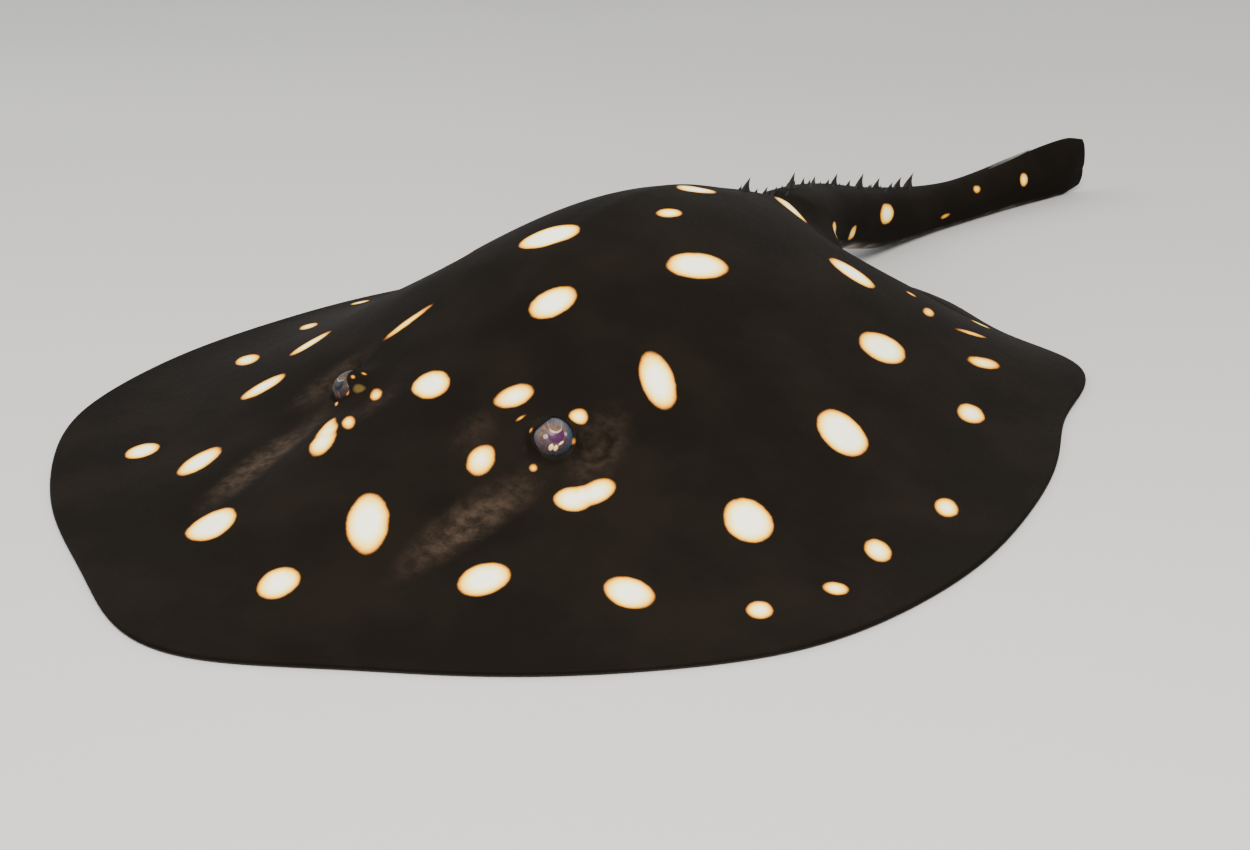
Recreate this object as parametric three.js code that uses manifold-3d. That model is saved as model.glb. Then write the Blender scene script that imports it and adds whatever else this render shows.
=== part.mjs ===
// Freshwater stingray (a white-spotted river ray), life size, resting on a flat floor.
// The back is arched, the snout and the margins of the disc are pressed down, and the tail lies
// along the floor behind with a gentle bend to the animal's left.
//
// Everything is in millimetres. The animal is shaped in its own frame: the origin on the floor
// under the middle of the disc, the snout towards -Y, its left side towards +X, and +Z up.
// At the end the group is moved so that the origin is the bottom centre of the whole animal.

import * as THREE from 'three';
import { mergeVertices } from 'three/addons/utils/BufferGeometryUtils.js';
import Module from 'manifold-3d';

const wasm = await Module();
wasm.setup();

// ---------------------------------------------------------------- driving dimensions

const GAP = 0.3;                  // parting gap between neighbouring pieces
const RIM = 2.2;                  // thickness of the disc at its margin
const FIN_DEPTH = 20;             // flesh that the fins gain from the margin to the body
const FIN_TAPER = 2.2;            // how late the fins thin towards the margin
const CORE_DEPTH = 46;            // further flesh along the middle of the body
const CORE = { y: 60, across: 48, along: 110 };

const SECTORS = 74;               // facets of the disc round its margin
const BALL_FACETS = [16, 11];     // facets of an eyeball or brow, round and from pole to pole
const HOLLOW_FACETS = [12, 8];
const RINGS = 12;                 // facets of the disc from its middle to its margin
const RING_CROWDING = 1.35;       // above 1, the rings lie closer together towards the margin

const EYE_RADIUS = 8;
// The head leans a little to its right, so that eye lies lower and nearer the middle.
const EYES = { left: { x: 50, y: -80, z: 32 }, right: { x: -46.3, y: -79.2, z: 30 } };
// Mound that carries each eye and hollow behind it: x outwards, y and z from the eye's middle.
const BROW = { x: -3.5, y: 4, z: -6, radius: 13 };
const SPIRACLE = { x: 15, y: 9, z: 3, length: 20, width: 10, depth: 14, turn: 0.25 };

const HEAD_END = -40;             // where the head ends and the trunk begins
const TRUNK_END = 196;            // where the trunk ends and the tail begins
const FIN_SPLIT = 12;             // where the front and rear lengths of each side fin part
const TAIL_SPLITS = [290, 396];   // where the lengths of the tail part
const TAIL_TIP = 500;
const PELVIC_LINE = { y: 170, sweep: 0.12 };                // the pelvic fins begin behind this line

// The disc in plan is an oval with waves on its margin, alike on both sides.
const HALF_WIDTH = 200;
const HALF_LENGTH = 212;
// Waves: bearing from the snout in degrees, spread in degrees, rise above the oval.
const WAVES = [
  { part: 'snout', bearing: 0, spread: 9, rise: 17 },
  { part: 'shoulder', bearing: 57, spread: 9, rise: 4 },
  { part: 'flank', bearing: 97, spread: 13, rise: -5 },
  { part: 'rear corner', bearing: 140, spread: 8, rise: 30 },
  { part: 'pelvic fin', bearing: 166, spread: 11, rise: 26 },
  { part: 'gap under the tail', bearing: 180, spread: 4, rise: -30 },
];

// Swells of the back over the margin's level. Those of the pairs lie at x on the left and -x on
// the right, where the animal holds its fins a little lower.
const MIDDLE_SWELLS = [
  { part: 'trunk', x: -5, y: 70, across: 62, along: 130, rise: 65 },
  { part: 'tail root', x: 0, y: 178, across: 20, along: 26, rise: 19 },
];
const PAIRED_SWELLS = [
  { part: 'fin arch', x: 85, y: 35, across: 60, along: 110, left: 26, right: 20 },
  { part: 'front hollow', x: 80, y: -95, across: 60, along: 55, left: -4, right: -4 },
  { part: 'cheek', x: 53, y: -84, across: 24, along: 28, left: -6, right: -6 },
  { part: 'rear lobe', x: 90, y: 125, across: 60, along: 60, left: 4, right: 0 },
  { part: 'hollow beside the tail', x: 42, y: 188, across: 16, along: 28, left: -17, right: -17 },
];
const SHOULDER = 6;               // how late the back falls away to the margin

// The margin is held off the floor beside the tail.
const LIFT = { bearing: 180, full: 8, ends: 38, rise: 4, from: 0.6 };

// Half width of head, trunk and tail, down the body, inside which the fins begin.
const SPINE = [
  [-260, 16], [-228, 18], [-180, 36], [-130, 58], [-95, 69], [-40, 70], [30, 66],
  [100, 54], [150, 41], [190, 30], [215, 27], [240, 27], [262, 60], [520, 60],
];

const SPINE_STEPS = 32;

// Line of the tail in plan.
const TAIL_LINE = [[0, 130], [0, 180], [-8, 230], [-10, 290], [-4, 350], [12, 420], [36, TAIL_TIP]];

// Sections of the tail: place down the body, half width, height of its underside and its own
// height. A waist above 1 thins it towards its top and bottom, as the folds of its rear end do.
const TAIL_SECTIONS = [
  { y: 130, half: 22, under: 24, height: 36, waist: 1.0 },
  { y: 180, half: 21, under: 22, height: 40, waist: 0.9 },
  { y: 230, half: 16, under: 19, height: 34, waist: 0.85 },
  { y: 300, half: 13, under: 3, height: 33, waist: 0.85 },
  { y: 370, half: 10, under: -0.6, height: 26, waist: 1.0 },
  { y: 430, half: 9, under: -0.6, height: 30, waist: 1.3 },
  { y: 480, half: 7, under: -0.6, height: 35, waist: 1.45 },
  { y: TAIL_TIP, half: 2.5, under: 4, height: 27, waist: 1.1 },
];
const TAIL_STATIONS = 34;
const TAIL_SIDES = 14;
const TAIL_CROWDING = 1.25;       // above 1, the stations lie closer together towards the blunt tip

// Thorns along the ridge of the tail, like sharks' fins: place down the body and height.
const THORNS = [
  [143, 6], [158, 5], [172, 2.5], [187, 7], [207, 3], [225, 3.5], [240, 2.5], [254, 5.5], [268, 3],
  [282, 7], [304, 5], [315, 3], [326, 5.5], [337, 7.5],
];
// Half length of a thorn's foot, its gain for each mm of height and its depth in the skin. The rest
// are shares of that half length: half the breadth, and where the middle and the tip stand.
const THORN = { foot: 1.8, spread: 0.45, sink: 1.2, breadth: 0.42, middle: -0.4, tip: 0.7, sides: 6 };
const THORN_SWAY = 1.2;           // how far the row strays to each side of the ridge
const THORN_WAVE = 2.4;           // radians of that stray from one thorn to the next

const STING = { start: 404, length: 46, half: 2.1, thick: 2.6, point: 0.4, sunk: 0.6, raised: 1.6 };
const STING_SIDES = 8;

// ---------------------------------------------------------------- materials

const SKIN = { color: 0x17130f, roughness: 0.5, metalness: 0 };
const BONE = { color: 0x8d8578, roughness: 0.55, metalness: 0 };
const EYE_LOOK = { color: 0x8f7a52, roughness: 0.1, metalness: 0 };

// ---------------------------------------------------------------- small helpers

const smoothstep = (a, b, v) => THREE.MathUtils.smoothstep(v, a, b);

// Smooth curve through [place, value] pairs.
function curveThrough(table, place) {
  const last = table.length - 1;
  const at = (i) => table[THREE.MathUtils.clamp(i, 0, last)];
  let i = 0;
  while (i < last - 1 && at(i + 1)[0] <= place) i += 1;
  const [p0, v0] = at(i - 1);
  const [p1, v1] = at(i);
  const [p2, v2] = at(i + 1);
  const [p3, v3] = at(i + 2);
  const span = p2 - p1;
  const t = THREE.MathUtils.clamp((place - p1) / span, 0, 1);
  const m1 = ((v2 - v0) / (p2 - p0)) * span;
  const m2 = ((v3 - v1) / (p3 - p1)) * span;
  const t2 = t * t;
  const t3 = t2 * t;
  return (2 * t3 - 3 * t2 + 1) * v1 + (t3 - 2 * t2 + t) * m1 + (3 * t2 - 2 * t3) * v2 + (t3 - t2) * m2;
}

// A closed triangle mesh as a solid that can be joined and cut.
function solidOf(geometry) {
  const bare = geometry.clone();
  bare.deleteAttribute('normal');
  bare.deleteAttribute('uv');
  const merged = mergeVertices(bare, 1e-4);
  return new wasm.Manifold(new wasm.Mesh({
    numProp: 3,
    vertProperties: new Float32Array(merged.attributes.position.array),
    triVerts: new Uint32Array(merged.index.array),
  }));
}

function geometryOf(solid) {
  const mesh = solid.getMesh();
  const geometry = new THREE.BufferGeometry();
  geometry.setAttribute('position', new THREE.BufferAttribute(new Float32Array(mesh.vertProperties), 3));
  geometry.setIndex(new THREE.BufferAttribute(new Uint32Array(mesh.triVerts), 1));
  return geometry;
}

function meshOf(name, solid, look) {
  const mesh = new THREE.Mesh(geometryOf(solid), new THREE.MeshStandardMaterial(look));
  mesh.name = name;
  return mesh;
}

function boxBetween(low, high) {
  const size = high.map((v, i) => v - low[i]);
  const box = new THREE.BoxGeometry(...size);
  box.translate(low[0] + size[0] / 2, low[1] + size[1] / 2, low[2] + size[2] / 2);
  return solidOf(box);
}

// ---------------------------------------------------------------- the disc

// Reach from the origin to the margin: the oval, and each wave on the sides where it stands.
function reachAt(bearing) {
  const angle = THREE.MathUtils.degToRad(bearing);
  const oval = Math.hypot(HALF_LENGTH * Math.sin(angle), HALF_WIDTH * Math.cos(angle));
  let reach = (HALF_WIDTH * HALF_LENGTH) / oval;
  for (const wave of WAVES) {
    for (const side of wave.bearing % 180 === 0 ? [1] : [1, -1]) {
      const off = THREE.MathUtils.euclideanModulo(bearing - side * wave.bearing + 180, 360) - 180;
      reach += wave.rise * Math.exp(-0.5 * (off / wave.spread) ** 2);
    }
  }
  return reach;
}

function liftAt(bearing, q) {
  const away = Math.abs(bearing - LIFT.bearing);
  return LIFT.rise * (1 - smoothstep(LIFT.full, LIFT.ends, away)) * smoothstep(LIFT.from, 1, q);
}

const hill = (x, y, s) => Math.exp(-0.5 * (((x - s.x) / s.across) ** 2 + ((y - s.y) / s.along) ** 2));

const SWELLS = [
  ...MIDDLE_SWELLS,
  ...PAIRED_SWELLS.map((swell) => ({ ...swell, rise: swell.left })),
  ...PAIRED_SWELLS.map((swell) => ({ ...swell, x: -swell.x, rise: swell.right })),
];

// Heights of back and belly at a share q (0 to 1) of the way out to the margin.
function levelsAt(bearing, q) {
  const angle = THREE.MathUtils.degToRad(bearing);
  const reach = q * reachAt(bearing);
  const x = reach * Math.sin(angle);
  const y = -reach * Math.cos(angle);
  const floor = liftAt(bearing, q);
  const swell = SWELLS.reduce((sum, s) => sum + s.rise * hill(x, y, s), 0);
  const back = floor + RIM + swell * (1 - q ** SHOULDER);
  const core = CORE_DEPTH * hill(x, y, { x: 0, ...CORE }) * (1 - q ** SHOULDER);
  const flesh = RIM + FIN_DEPTH * (1 - q ** FIN_TAPER) + core;
  const belly = Math.max(floor, back - flesh);
  return { x, y, back, belly };
}

function discSolid() {
  const points = [];
  const index = [];
  const shareAt = (ring) => 1 - (1 - ring / RINGS) ** RING_CROWDING;
  const addSheet = (side) => {
    const centre = points.length / 3;
    const middle = levelsAt(0, 0);
    points.push(0, 0, middle[side]);
    for (let ring = 1; ring <= RINGS; ring += 1) {
      for (let k = 0; k < SECTORS; k += 1) {
        const level = levelsAt((k * 360) / SECTORS, shareAt(ring));
        points.push(level.x, level.y, level[side]);
      }
    }
    return centre;
  };
  const back = addSheet('back');
  const belly = addSheet('belly');
  const at = (sheet, ring, k) => (ring === 0 ? sheet : sheet + 1 + (ring - 1) * SECTORS + (k % SECTORS));
  const addFace = (sheet, a, b, c) => {
    if (sheet === back) index.push(a, b, c);
    else index.push(a, c, b);
  };
  for (const sheet of [back, belly]) {
    for (let k = 0; k < SECTORS; k += 1) {
      addFace(sheet, sheet, at(sheet, 1, k), at(sheet, 1, k + 1));
      for (let ring = 1; ring < RINGS; ring += 1) {
        const a = at(sheet, ring, k);
        const b = at(sheet, ring + 1, k);
        const c = at(sheet, ring + 1, k + 1);
        const d = at(sheet, ring, k + 1);
        addFace(sheet, a, b, c);
        addFace(sheet, a, c, d);
      }
    }
  }
  for (let k = 0; k < SECTORS; k += 1) {
    const a = at(back, RINGS, k);
    const b = at(back, RINGS, k + 1);
    const c = at(belly, RINGS, k);
    const d = at(belly, RINGS, k + 1);
    index.push(a, c, d, a, d, b);
  }
  const geometry = new THREE.BufferGeometry();
  geometry.setAttribute('position', new THREE.BufferAttribute(new Float32Array(points), 3));
  geometry.setIndex(index);
  return solidOf(geometry);
}

// Height of the back above a point in plan, found from the point's own bearing and share.
function backHeight(x, y) {
  const bearing = (THREE.MathUtils.radToDeg(Math.atan2(x, -y)) + 360) % 360;
  return levelsAt(bearing, Math.min(1, Math.hypot(x, y) / reachAt(bearing))).back;
}

// ---------------------------------------------------------------- the tail

const tailLine = new THREE.CatmullRomCurve3(TAIL_LINE.map(([x, y]) => new THREE.Vector3(x, y, 0)));

const tailSizes = {};
for (const key of ['half', 'under', 'height', 'waist']) {
  tailSizes[key] = TAIL_SECTIONS.map((section) => [section.y, section[key]]);
}
const tailSize = (key, y) => curveThrough(tailSizes[key], y);

// A place on the tail's line, with the direction that the tail runs in there.
function tailPlace(y) {
  let low = 0;
  let high = 1;
  for (let step = 0; step < 24; step += 1) {
    const mid = (low + high) / 2;
    if (tailLine.getPoint(mid).y < y) low = mid;
    else high = mid;
  }
  return { point: tailLine.getPoint(low), along: tailLine.getTangent(low) };
}

function tailSolid() {
  const points = [];
  const index = [];
  const start = TAIL_SECTIONS[0].y;
  for (let station = 0; station <= TAIL_STATIONS; station += 1) {
    const share = 1 - (1 - station / TAIL_STATIONS) ** TAIL_CROWDING;
    const y = start + (TAIL_TIP - start) * share;
    const { point, along } = tailPlace(y);
    const half = tailSize('half', y);
    const height = tailSize('height', y);
    const waist = tailSize('waist', y);
    for (let k = 0; k < TAIL_SIDES; k += 1) {
      const turn = (2 * Math.PI * k) / TAIL_SIDES;
      const across = half * Math.sign(Math.cos(turn)) * Math.abs(Math.cos(turn)) ** waist;
      const up = tailSize('under', y) + (height / 2) * (1 + Math.sin(turn));
      points.push(point.x + along.y * across, point.y - along.x * across, Math.max(0, up));
    }
  }
  for (let station = 0; station < TAIL_STATIONS; station += 1) {
    for (let k = 0; k < TAIL_SIDES; k += 1) {
      const next = (k + 1) % TAIL_SIDES;
      const a = station * TAIL_SIDES + k;
      const b = station * TAIL_SIDES + next;
      index.push(a, b + TAIL_SIDES, b, a, a + TAIL_SIDES, b + TAIL_SIDES);
    }
  }
  const last = TAIL_STATIONS * TAIL_SIDES;
  for (let k = 1; k < TAIL_SIDES - 1; k += 1) {
    index.push(0, k, k + 1);
    index.push(last, last + k + 1, last + k);
  }
  const geometry = new THREE.BufferGeometry();
  geometry.setAttribute('position', new THREE.BufferAttribute(new Float32Array(points), 3));
  geometry.setIndex(index);
  return solidOf(geometry);
}

// Height of the ridge that the thorns stand on.
function ridgeHeight(x, y) {
  const tail = tailSize('under', y) + tailSize('height', y);
  return y < TRUNK_END ? Math.max(tail, backHeight(x, y)) : tail;
}

function thornSolid(x, y, z, height) {
  const foot = THORN.foot + THORN.spread * height;
  const cone = new THREE.ConeGeometry(1, height + THORN.sink, THORN.sides);
  cone.scale(THORN.breadth * foot, 1, foot);
  cone.rotateX(Math.PI / 2);
  cone.translate(0, 0, (height + THORN.sink) / 2);
  const swept = ((THORN.tip - THORN.middle) * foot) / (height + THORN.sink);
  cone.applyMatrix4(new THREE.Matrix4().makeShear(0, 0, 0, 0, 0, swept));
  cone.translate(x, y + THORN.middle * foot, z - THORN.sink);
  return solidOf(cone);
}

function withThorns(body) {
  return THORNS.reduce((solid, [y, height], i) => {
    const x = tailPlace(y).point.x + THORN_SWAY * Math.sin(THORN_WAVE * i);
    return solid.add(thornSolid(x, y, ridgeHeight(x, y), height));
  }, body);
}

// The sting lies along the top of the tail, tapering to its point.
function stingSolid(extra = 0) {
  const length = STING.length + 2 * extra;
  const blade = new THREE.CylinderGeometry(STING.point + extra, STING.half + extra, length, STING_SIDES);
  blade.scale(1, 1, STING.thick / (2 * STING.half));
  const onTop = (y, above) => {
    const { point } = tailPlace(y);
    return new THREE.Vector3(point.x, point.y, tailSize('under', y) + tailSize('height', y) + above);
  };
  const from = onTop(STING.start, -STING.sunk);
  const to = onTop(STING.start + STING.length, STING.raised);
  const direction = to.clone().sub(from).normalize();
  blade.applyQuaternion(new THREE.Quaternion().setFromUnitVectors(new THREE.Vector3(0, 1, 0), direction));
  blade.translate(...from.clone().add(to).divideScalar(2));
  return solidOf(blade);
}

// ---------------------------------------------------------------- eyes and spiracles

function ballSolid(radius, x, y, z) {
  const ball = new THREE.SphereGeometry(radius, ...BALL_FACETS);
  ball.translate(x, y, z);
  return solidOf(ball);
}

const SIDES = { left: 1, right: -1 };

// A place given from an eye's middle, with x outwards.
function besideEye(word, offset) {
  const eye = EYES[word];
  return [eye.x + SIDES[word] * offset.x, eye.y + offset.y, eye.z + offset.z];
}

function spiracleSolid(word) {
  const hollow = new THREE.SphereGeometry(1, ...HOLLOW_FACETS);
  hollow.scale(SPIRACLE.width / 2, SPIRACLE.length / 2, SPIRACLE.depth / 2);
  hollow.rotateZ(SIDES[word] * SPIRACLE.turn);
  hollow.translate(...besideEye(word, SPIRACLE));
  return solidOf(hollow);
}

// ---------------------------------------------------------------- parting the body

const FAR = 600;                  // beyond the animal on every side

function prismOver(shape) {
  const prism = new THREE.ExtrudeGeometry(shape, { depth: FAR, bevelEnabled: false });
  prism.translate(0, 0, -FAR / 2);
  return solidOf(prism);
}

// Everything inside the spine's outline, made wider or narrower by a margin.
function spinePrism(extra) {
  const shape = new THREE.Shape();
  const [start, end] = [SPINE[0][0], SPINE[SPINE.length - 1][0]];
  const edge = (side) => Array.from({ length: SPINE_STEPS + 1 }, (_, i) => {
    const y = start + ((end - start) * i) / SPINE_STEPS;
    const middle = y > TRUNK_END && y < TAIL_TIP ? tailPlace(y).point.x : 0;
    return new THREE.Vector2(middle + side * (curveThrough(SPINE, y) + extra), y);
  });
  shape.setFromPoints([...edge(-1).reverse(), ...edge(1)]);
  return prismOver(shape);
}

// Everything behind the swept line where the pelvic fins leave the disc.
function pelvicPrism(extra) {
  const start = PELVIC_LINE.y + extra;
  const end = start + PELVIC_LINE.sweep * FAR;
  return prismOver(new THREE.Shape([
    new THREE.Vector2(-FAR, end), new THREE.Vector2(0, start), new THREE.Vector2(FAR, end),
    new THREE.Vector2(FAR, FAR), new THREE.Vector2(-FAR, FAR),
  ]));
}

const between = (y0, y1) => boxBetween([-FAR, y0 + GAP / 2, -FAR], [FAR, y1 - GAP / 2, FAR]);
const sideOf = (side) => (side > 0
  ? boxBetween([0, -FAR, -FAR], [FAR, FAR, FAR])
  : boxBetween([-FAR, -FAR, -FAR], [0, FAR, FAR]));

let body = discSolid().add(tailSolid());
body = withThorns(body);
for (const word of Object.keys(SIDES)) {
  body = body.add(ballSolid(BROW.radius, ...besideEye(word, BROW)));
}
body = body.subtract(boxBetween([-FAR, -FAR, -FAR], [FAR, FAR, 0]));
for (const [word, eye] of Object.entries(EYES)) {
  body = body.subtract(ballSolid(EYE_RADIUS + GAP, eye.x, eye.y, eye.z));
  body = body.subtract(spiracleSolid(word));
}
body = body.subtract(stingSolid(GAP));

const spine = body.intersect(spinePrism(-GAP / 2));
const fins = body.subtract(spinePrism(GAP / 2));

const ray = new THREE.Group();
ray.add(meshOf('head', spine.intersect(between(-FAR, HEAD_END)), SKIN));
ray.add(meshOf('trunk', spine.intersect(between(HEAD_END, TRUNK_END)), SKIN));

const tail = [TRUNK_END, ...TAIL_SPLITS, FAR];
['tail_root', 'tail_middle', 'tail_end'].forEach((name, i) => {
  ray.add(meshOf(name, spine.intersect(between(tail[i], tail[i + 1])), SKIN));
});

for (const [word, side] of Object.entries(SIDES)) {
  const half = fins.intersect(sideOf(side));
  const rear = half.intersect(between(FIN_SPLIT, FAR));
  ray.add(meshOf(`pectoral_fin_front_${word}`, half.intersect(between(-FAR, FIN_SPLIT)), SKIN));
  ray.add(meshOf(`pectoral_fin_rear_${word}`, rear.subtract(pelvicPrism(-GAP / 2)), SKIN));
  ray.add(meshOf(`pelvic_fin_${word}`, rear.intersect(pelvicPrism(GAP / 2)), SKIN));
  ray.add(meshOf(`eye_${word}`, ballSolid(EYE_RADIUS, ...besideEye(word, { x: 0, y: 0, z: 0 })), EYE_LOOK));
}
ray.add(meshOf('sting', stingSolid(), BONE));

// Move the animal so that the origin is the bottom centre of its box.
const box = new THREE.Box3().setFromObject(ray);
const middle = box.getCenter(new THREE.Vector3());
for (const piece of ray.children) {
  piece.position.set(-middle.x, -middle.y, -box.min.z);
}

export default ray;
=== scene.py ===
"""Life-size freshwater stingray at rest: one skin over the flesh, with eyes, thorns and sting.

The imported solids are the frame. Shapes are worked out in the animal's own frame, in millimetres:
the origin on the floor under the middle of the disc, the snout towards -Y, the animal's left
towards +X and +Z up. to_scene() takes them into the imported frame, in metres.
"""

import math
from contextlib import contextmanager

import bpy
import numpy as np
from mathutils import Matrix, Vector
from mathutils.bvhtree import BVHTree
from mathutils.kdtree import KDTree


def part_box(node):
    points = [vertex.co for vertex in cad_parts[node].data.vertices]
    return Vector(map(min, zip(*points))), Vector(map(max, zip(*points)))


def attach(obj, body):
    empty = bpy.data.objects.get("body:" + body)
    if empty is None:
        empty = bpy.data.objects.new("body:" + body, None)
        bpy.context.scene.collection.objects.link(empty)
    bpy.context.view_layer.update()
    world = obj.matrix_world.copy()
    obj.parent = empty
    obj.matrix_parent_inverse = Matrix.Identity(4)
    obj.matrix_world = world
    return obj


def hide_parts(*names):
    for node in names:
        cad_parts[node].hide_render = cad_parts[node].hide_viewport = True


bl_info = {
    "name": "Freshwater stingray",
    "version": (1, 0, 0),
    "blender": (4, 5, 0),
    "location": "3D View > Sidebar > Stingray",
    "description": "Skin, eyes, thorns and sting of a life-size freshwater stingray",
    "category": "Object",
}

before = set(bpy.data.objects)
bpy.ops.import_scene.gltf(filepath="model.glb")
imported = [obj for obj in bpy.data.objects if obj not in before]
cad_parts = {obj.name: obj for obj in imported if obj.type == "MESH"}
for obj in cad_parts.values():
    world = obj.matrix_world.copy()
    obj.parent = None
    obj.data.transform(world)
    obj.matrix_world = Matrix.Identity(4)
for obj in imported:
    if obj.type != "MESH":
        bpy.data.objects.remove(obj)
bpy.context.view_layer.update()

MM = 0.001
SIDES = {"left": 1, "right": -1}

# ---- measures of the animal, in mm

# Middles of the eyeballs. The head leans a little to its right.
EYES = {"left": np.array([50.0, -80.0, 32.0]), "right": np.array([-46.3, -79.2, 30.0])}
EYE_RADIUS = 8.0
SOCKET_AXIS = (0.60, -0.65, 0.46)  # where the left socket opens, mirrored on the right
# Both eyes are turned a little to the animal's left, so the right one looks almost straight ahead.
GAZE = {"left": (0.60, -0.65, 0.46), "right": (-0.12, -0.85, 0.50)}

RIM = 2.2  # thickness of the disc at its margin
FIN_DEPTH = 20.0  # flesh that the fins gain inwards
FIN_TAPER = 2.2
CORE_DEPTH = 46.0  # further flesh along the middle of the body
CORE = (0.0, 60.0, 48.0, 110.0)  # x, y, spread across and along
SHOULDER = 6.0  # how late the back falls away to the margin

# The disc in plan is an oval with waves on its margin, alike on both sides: bearing from the
# snout and spread in degrees, and rise above the oval.
HALF_WIDTH = 200.0
HALF_LENGTH = 212.0
WAVES = {
    "snout": (0, 9, 17),
    "shoulder": (57, 9, 4),
    "flank": (97, 13, -5),
    "rear corner": (140, 8, 30),
    "pelvic fin": (166, 11, 26),
    "gap under the tail": (180, 4, -30),
}

# Swells of the back over the margin's level: x, y, spread across and along, rise. Those of the
# pairs lie at x on the left and -x on the right, with a rise for each side.
MIDDLE_SWELLS = {"trunk": (-5, 70, 62, 130, 65), "tail root": (0, 178, 20, 26, 19)}
PAIRED_SWELLS = {
    "fin arch": (85, 35, 60, 110, 26, 20),
    "front hollow": (80, -95, 60, 55, -4, -4),
    "cheek": (53, -84, 24, 28, -6, -6),
    "rear lobe": (90, 125, 60, 60, 4, 0),
    "hollow beside the tail": (42, 188, 16, 28, -17, -17),
}
LIFT = {"bearing": 180, "full": 8, "ends": 38, "rise": 4, "from": 0.6}

TAIL_LINE = [(0, 130), (0, 180), (-8, 230), (-10, 290), (-4, 350), (12, 420), (36, 500)]
# Sections of the tail: place, half width, height of the underside, own height, and a waist that
# thins the section towards its top and bottom where it is above 1.
TAIL_SECTIONS = [
    (130, 22, 24, 36, 1.0), (180, 21, 22, 40, 0.9), (230, 16, 19, 34, 0.85),
    (300, 13, 3, 33, 0.85), (370, 10, -0.6, 26, 1.0), (430, 9, -0.6, 30, 1.3),
    (480, 7, -0.6, 35, 1.45), (500, 2.5, 4, 27, 1.1),
]

# Thorns along the ridge of the tail, like sharks' fins: place down the body and height.
THORNS = [
    (143, 6), (158, 5), (172, 2.5), (187, 7), (207, 3), (225, 3.5), (240, 2.5), (254, 5.5),
    (268, 3), (282, 7), (304, 5), (315, 3), (326, 5.5), (337, 7.5),
]
# Half length of a thorn's foot, its gain for each mm of height and its depth in the skin. The rest
# are shares of that half length: half the breadth, and where the middle and the tip stand.
THORN = {"foot": 1.8, "spread": 0.45, "sink": 1.2, "breadth": 0.42, "middle": -0.4, "tip": 0.7}
THORN_FRONT, THORN_HOLLOW = 1.5, 0.3  # the front leans more towards the tip, the rear is hollow
THORN_SWAY = 1.2  # how far the row strays to each side of the ridge
THORN_WAVE = 2.4  # radians of that stray from one thorn to the next
THORN_CUTS = (0.05, 0.12, 0.24, 0.4, 0.58, 0.76, 0.9)  # shares of the height with a ring of points
SMALL_THORN = {"aside": 3.6, "sway": 1.8, "height": 1.2, "gain": 0.9, "stray": 0.4}
SMALL_WAVES = (3.7, 5.1, 2.9)  # radians from one small thorn to the next: place, aside, height
STING = {"start": 404.0, "length": 46.0, "half": 2.1, "thick": 2.6, "sunk": 0.6, "raised": 1.6}

# Spots of the back: x, y, half length, half width, turn of the length in plan.
BACK_SPOTS = [
    # the head, from its right to its left
    (-144, -42, 10.5, 5.0, 145), (-109, -38, 10.0, 5.0, 83), (-49.5, -42, 10.0, 2.4, 57),
    (12.5, -27, 10.0, 7.0, 70), (-7, -79, 9.2, 6.6, 150), (-99.5, -76, 9.8, 5.6, 76),
    (-112, -131, 7.3, 6.6, 150),
    (-76, -134, 11.0, 6.3, 101), (-33, -169, 11.5, 8.8, 128), (16, -186, 8.0, 6.7, 110),
    (66, -34.5, 12.6, 6.3, 138), (25.5, -70, 7.6, 4.6, 60), (34, -101, 7.5, 4.6, 106),
    (21.5, -148, 14.8, 7.2, 130),
    (-28.6, -85.8, 4.6, 2.1, 137), (-26.5, -104, 5.6, 2.2, 138),
    # one like a teardrop, and one like a bean
    (-27.3, -117.6, 9.6, 4.8, 125), (-31.5, -111, 9.0, 4.1, 123), (-35, -106, 7.0, 2.6, 122),
    (70.5, -96, 7.2, 6.0, 160), (72.8, -92.8, 5.5, 5.5, 0), (75.5, -89, 7.8, 5.4, 75),
    # the left fin
    (126, -68.5, 10.8, 8.6, 125), (166.5, -49, 6.2, 4.5, 120), (166, -79, 4.1, 3.5, 30),
    (152.5, -106, 4.8, 4.1, 95), (114, -125, 8.8, 7.1, 175), (72, -148, 9.5, 7.2, 80),
    (89.5, 136, 2.6, 1.8, 70), (79.5, 179, 2.2, 1.6, 60),
    (127, -1, 11.6, 9.4, 125), (172, -4, 6.0, 4.1, 105), (149, 68.5, 8.5, 4.9, 95),
    (110.5, 65, 12.4, 8.0, 82), (133, 118, 9.0, 3.6, 72), (102.5, 127, 6.2, 2.1, 106),
    (117.5, 140, 8.7, 1.6, 69), (76.5, 103, 9.8, 7.6, 20),
    # the trunk and the right fin
    (45, 27, 13.0, 7.6, 57), (16, 51, 5.8, 4.0, 65), (-17, 11, 12.5, 10.5, 15),
    (-153, 6, 11.0, 4.0, 140), (4, 92, 9.0, 7.0, 60), (21.5, 147, 9.5, 6.0, 155),
    # the far side and the rear, in the same manner
    (-58, 62, 11.5, 8.6, 60), (-112, 44, 10.4, 8.0, 110), (-84, 104, 10.6, 7.6, 75),
    (-40, 122, 9.2, 6.6, 100), (-140, 88, 7.4, 5.6, 60), (-122, 132, 8.2, 5.4, 120),
    (-58, 168, 7.4, 5.0, 70), (-92, 170, 5.6, 4.2, 100), (-172, 62, 4.8, 3.8, 80),
    (-160, 118, 4.6, 3.6, 110), (-72, 20, 6.0, 4.6, 40), (-28, 214, 5.0, 3.4, 80),
    (62, 196, 6.2, 4.2, 110), (104, 184, 4.8, 3.6, 60), (-96, 140, 3.6, 3.0, 0),
    (-46, 90, 3.8, 3.2, 0),
]
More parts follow.
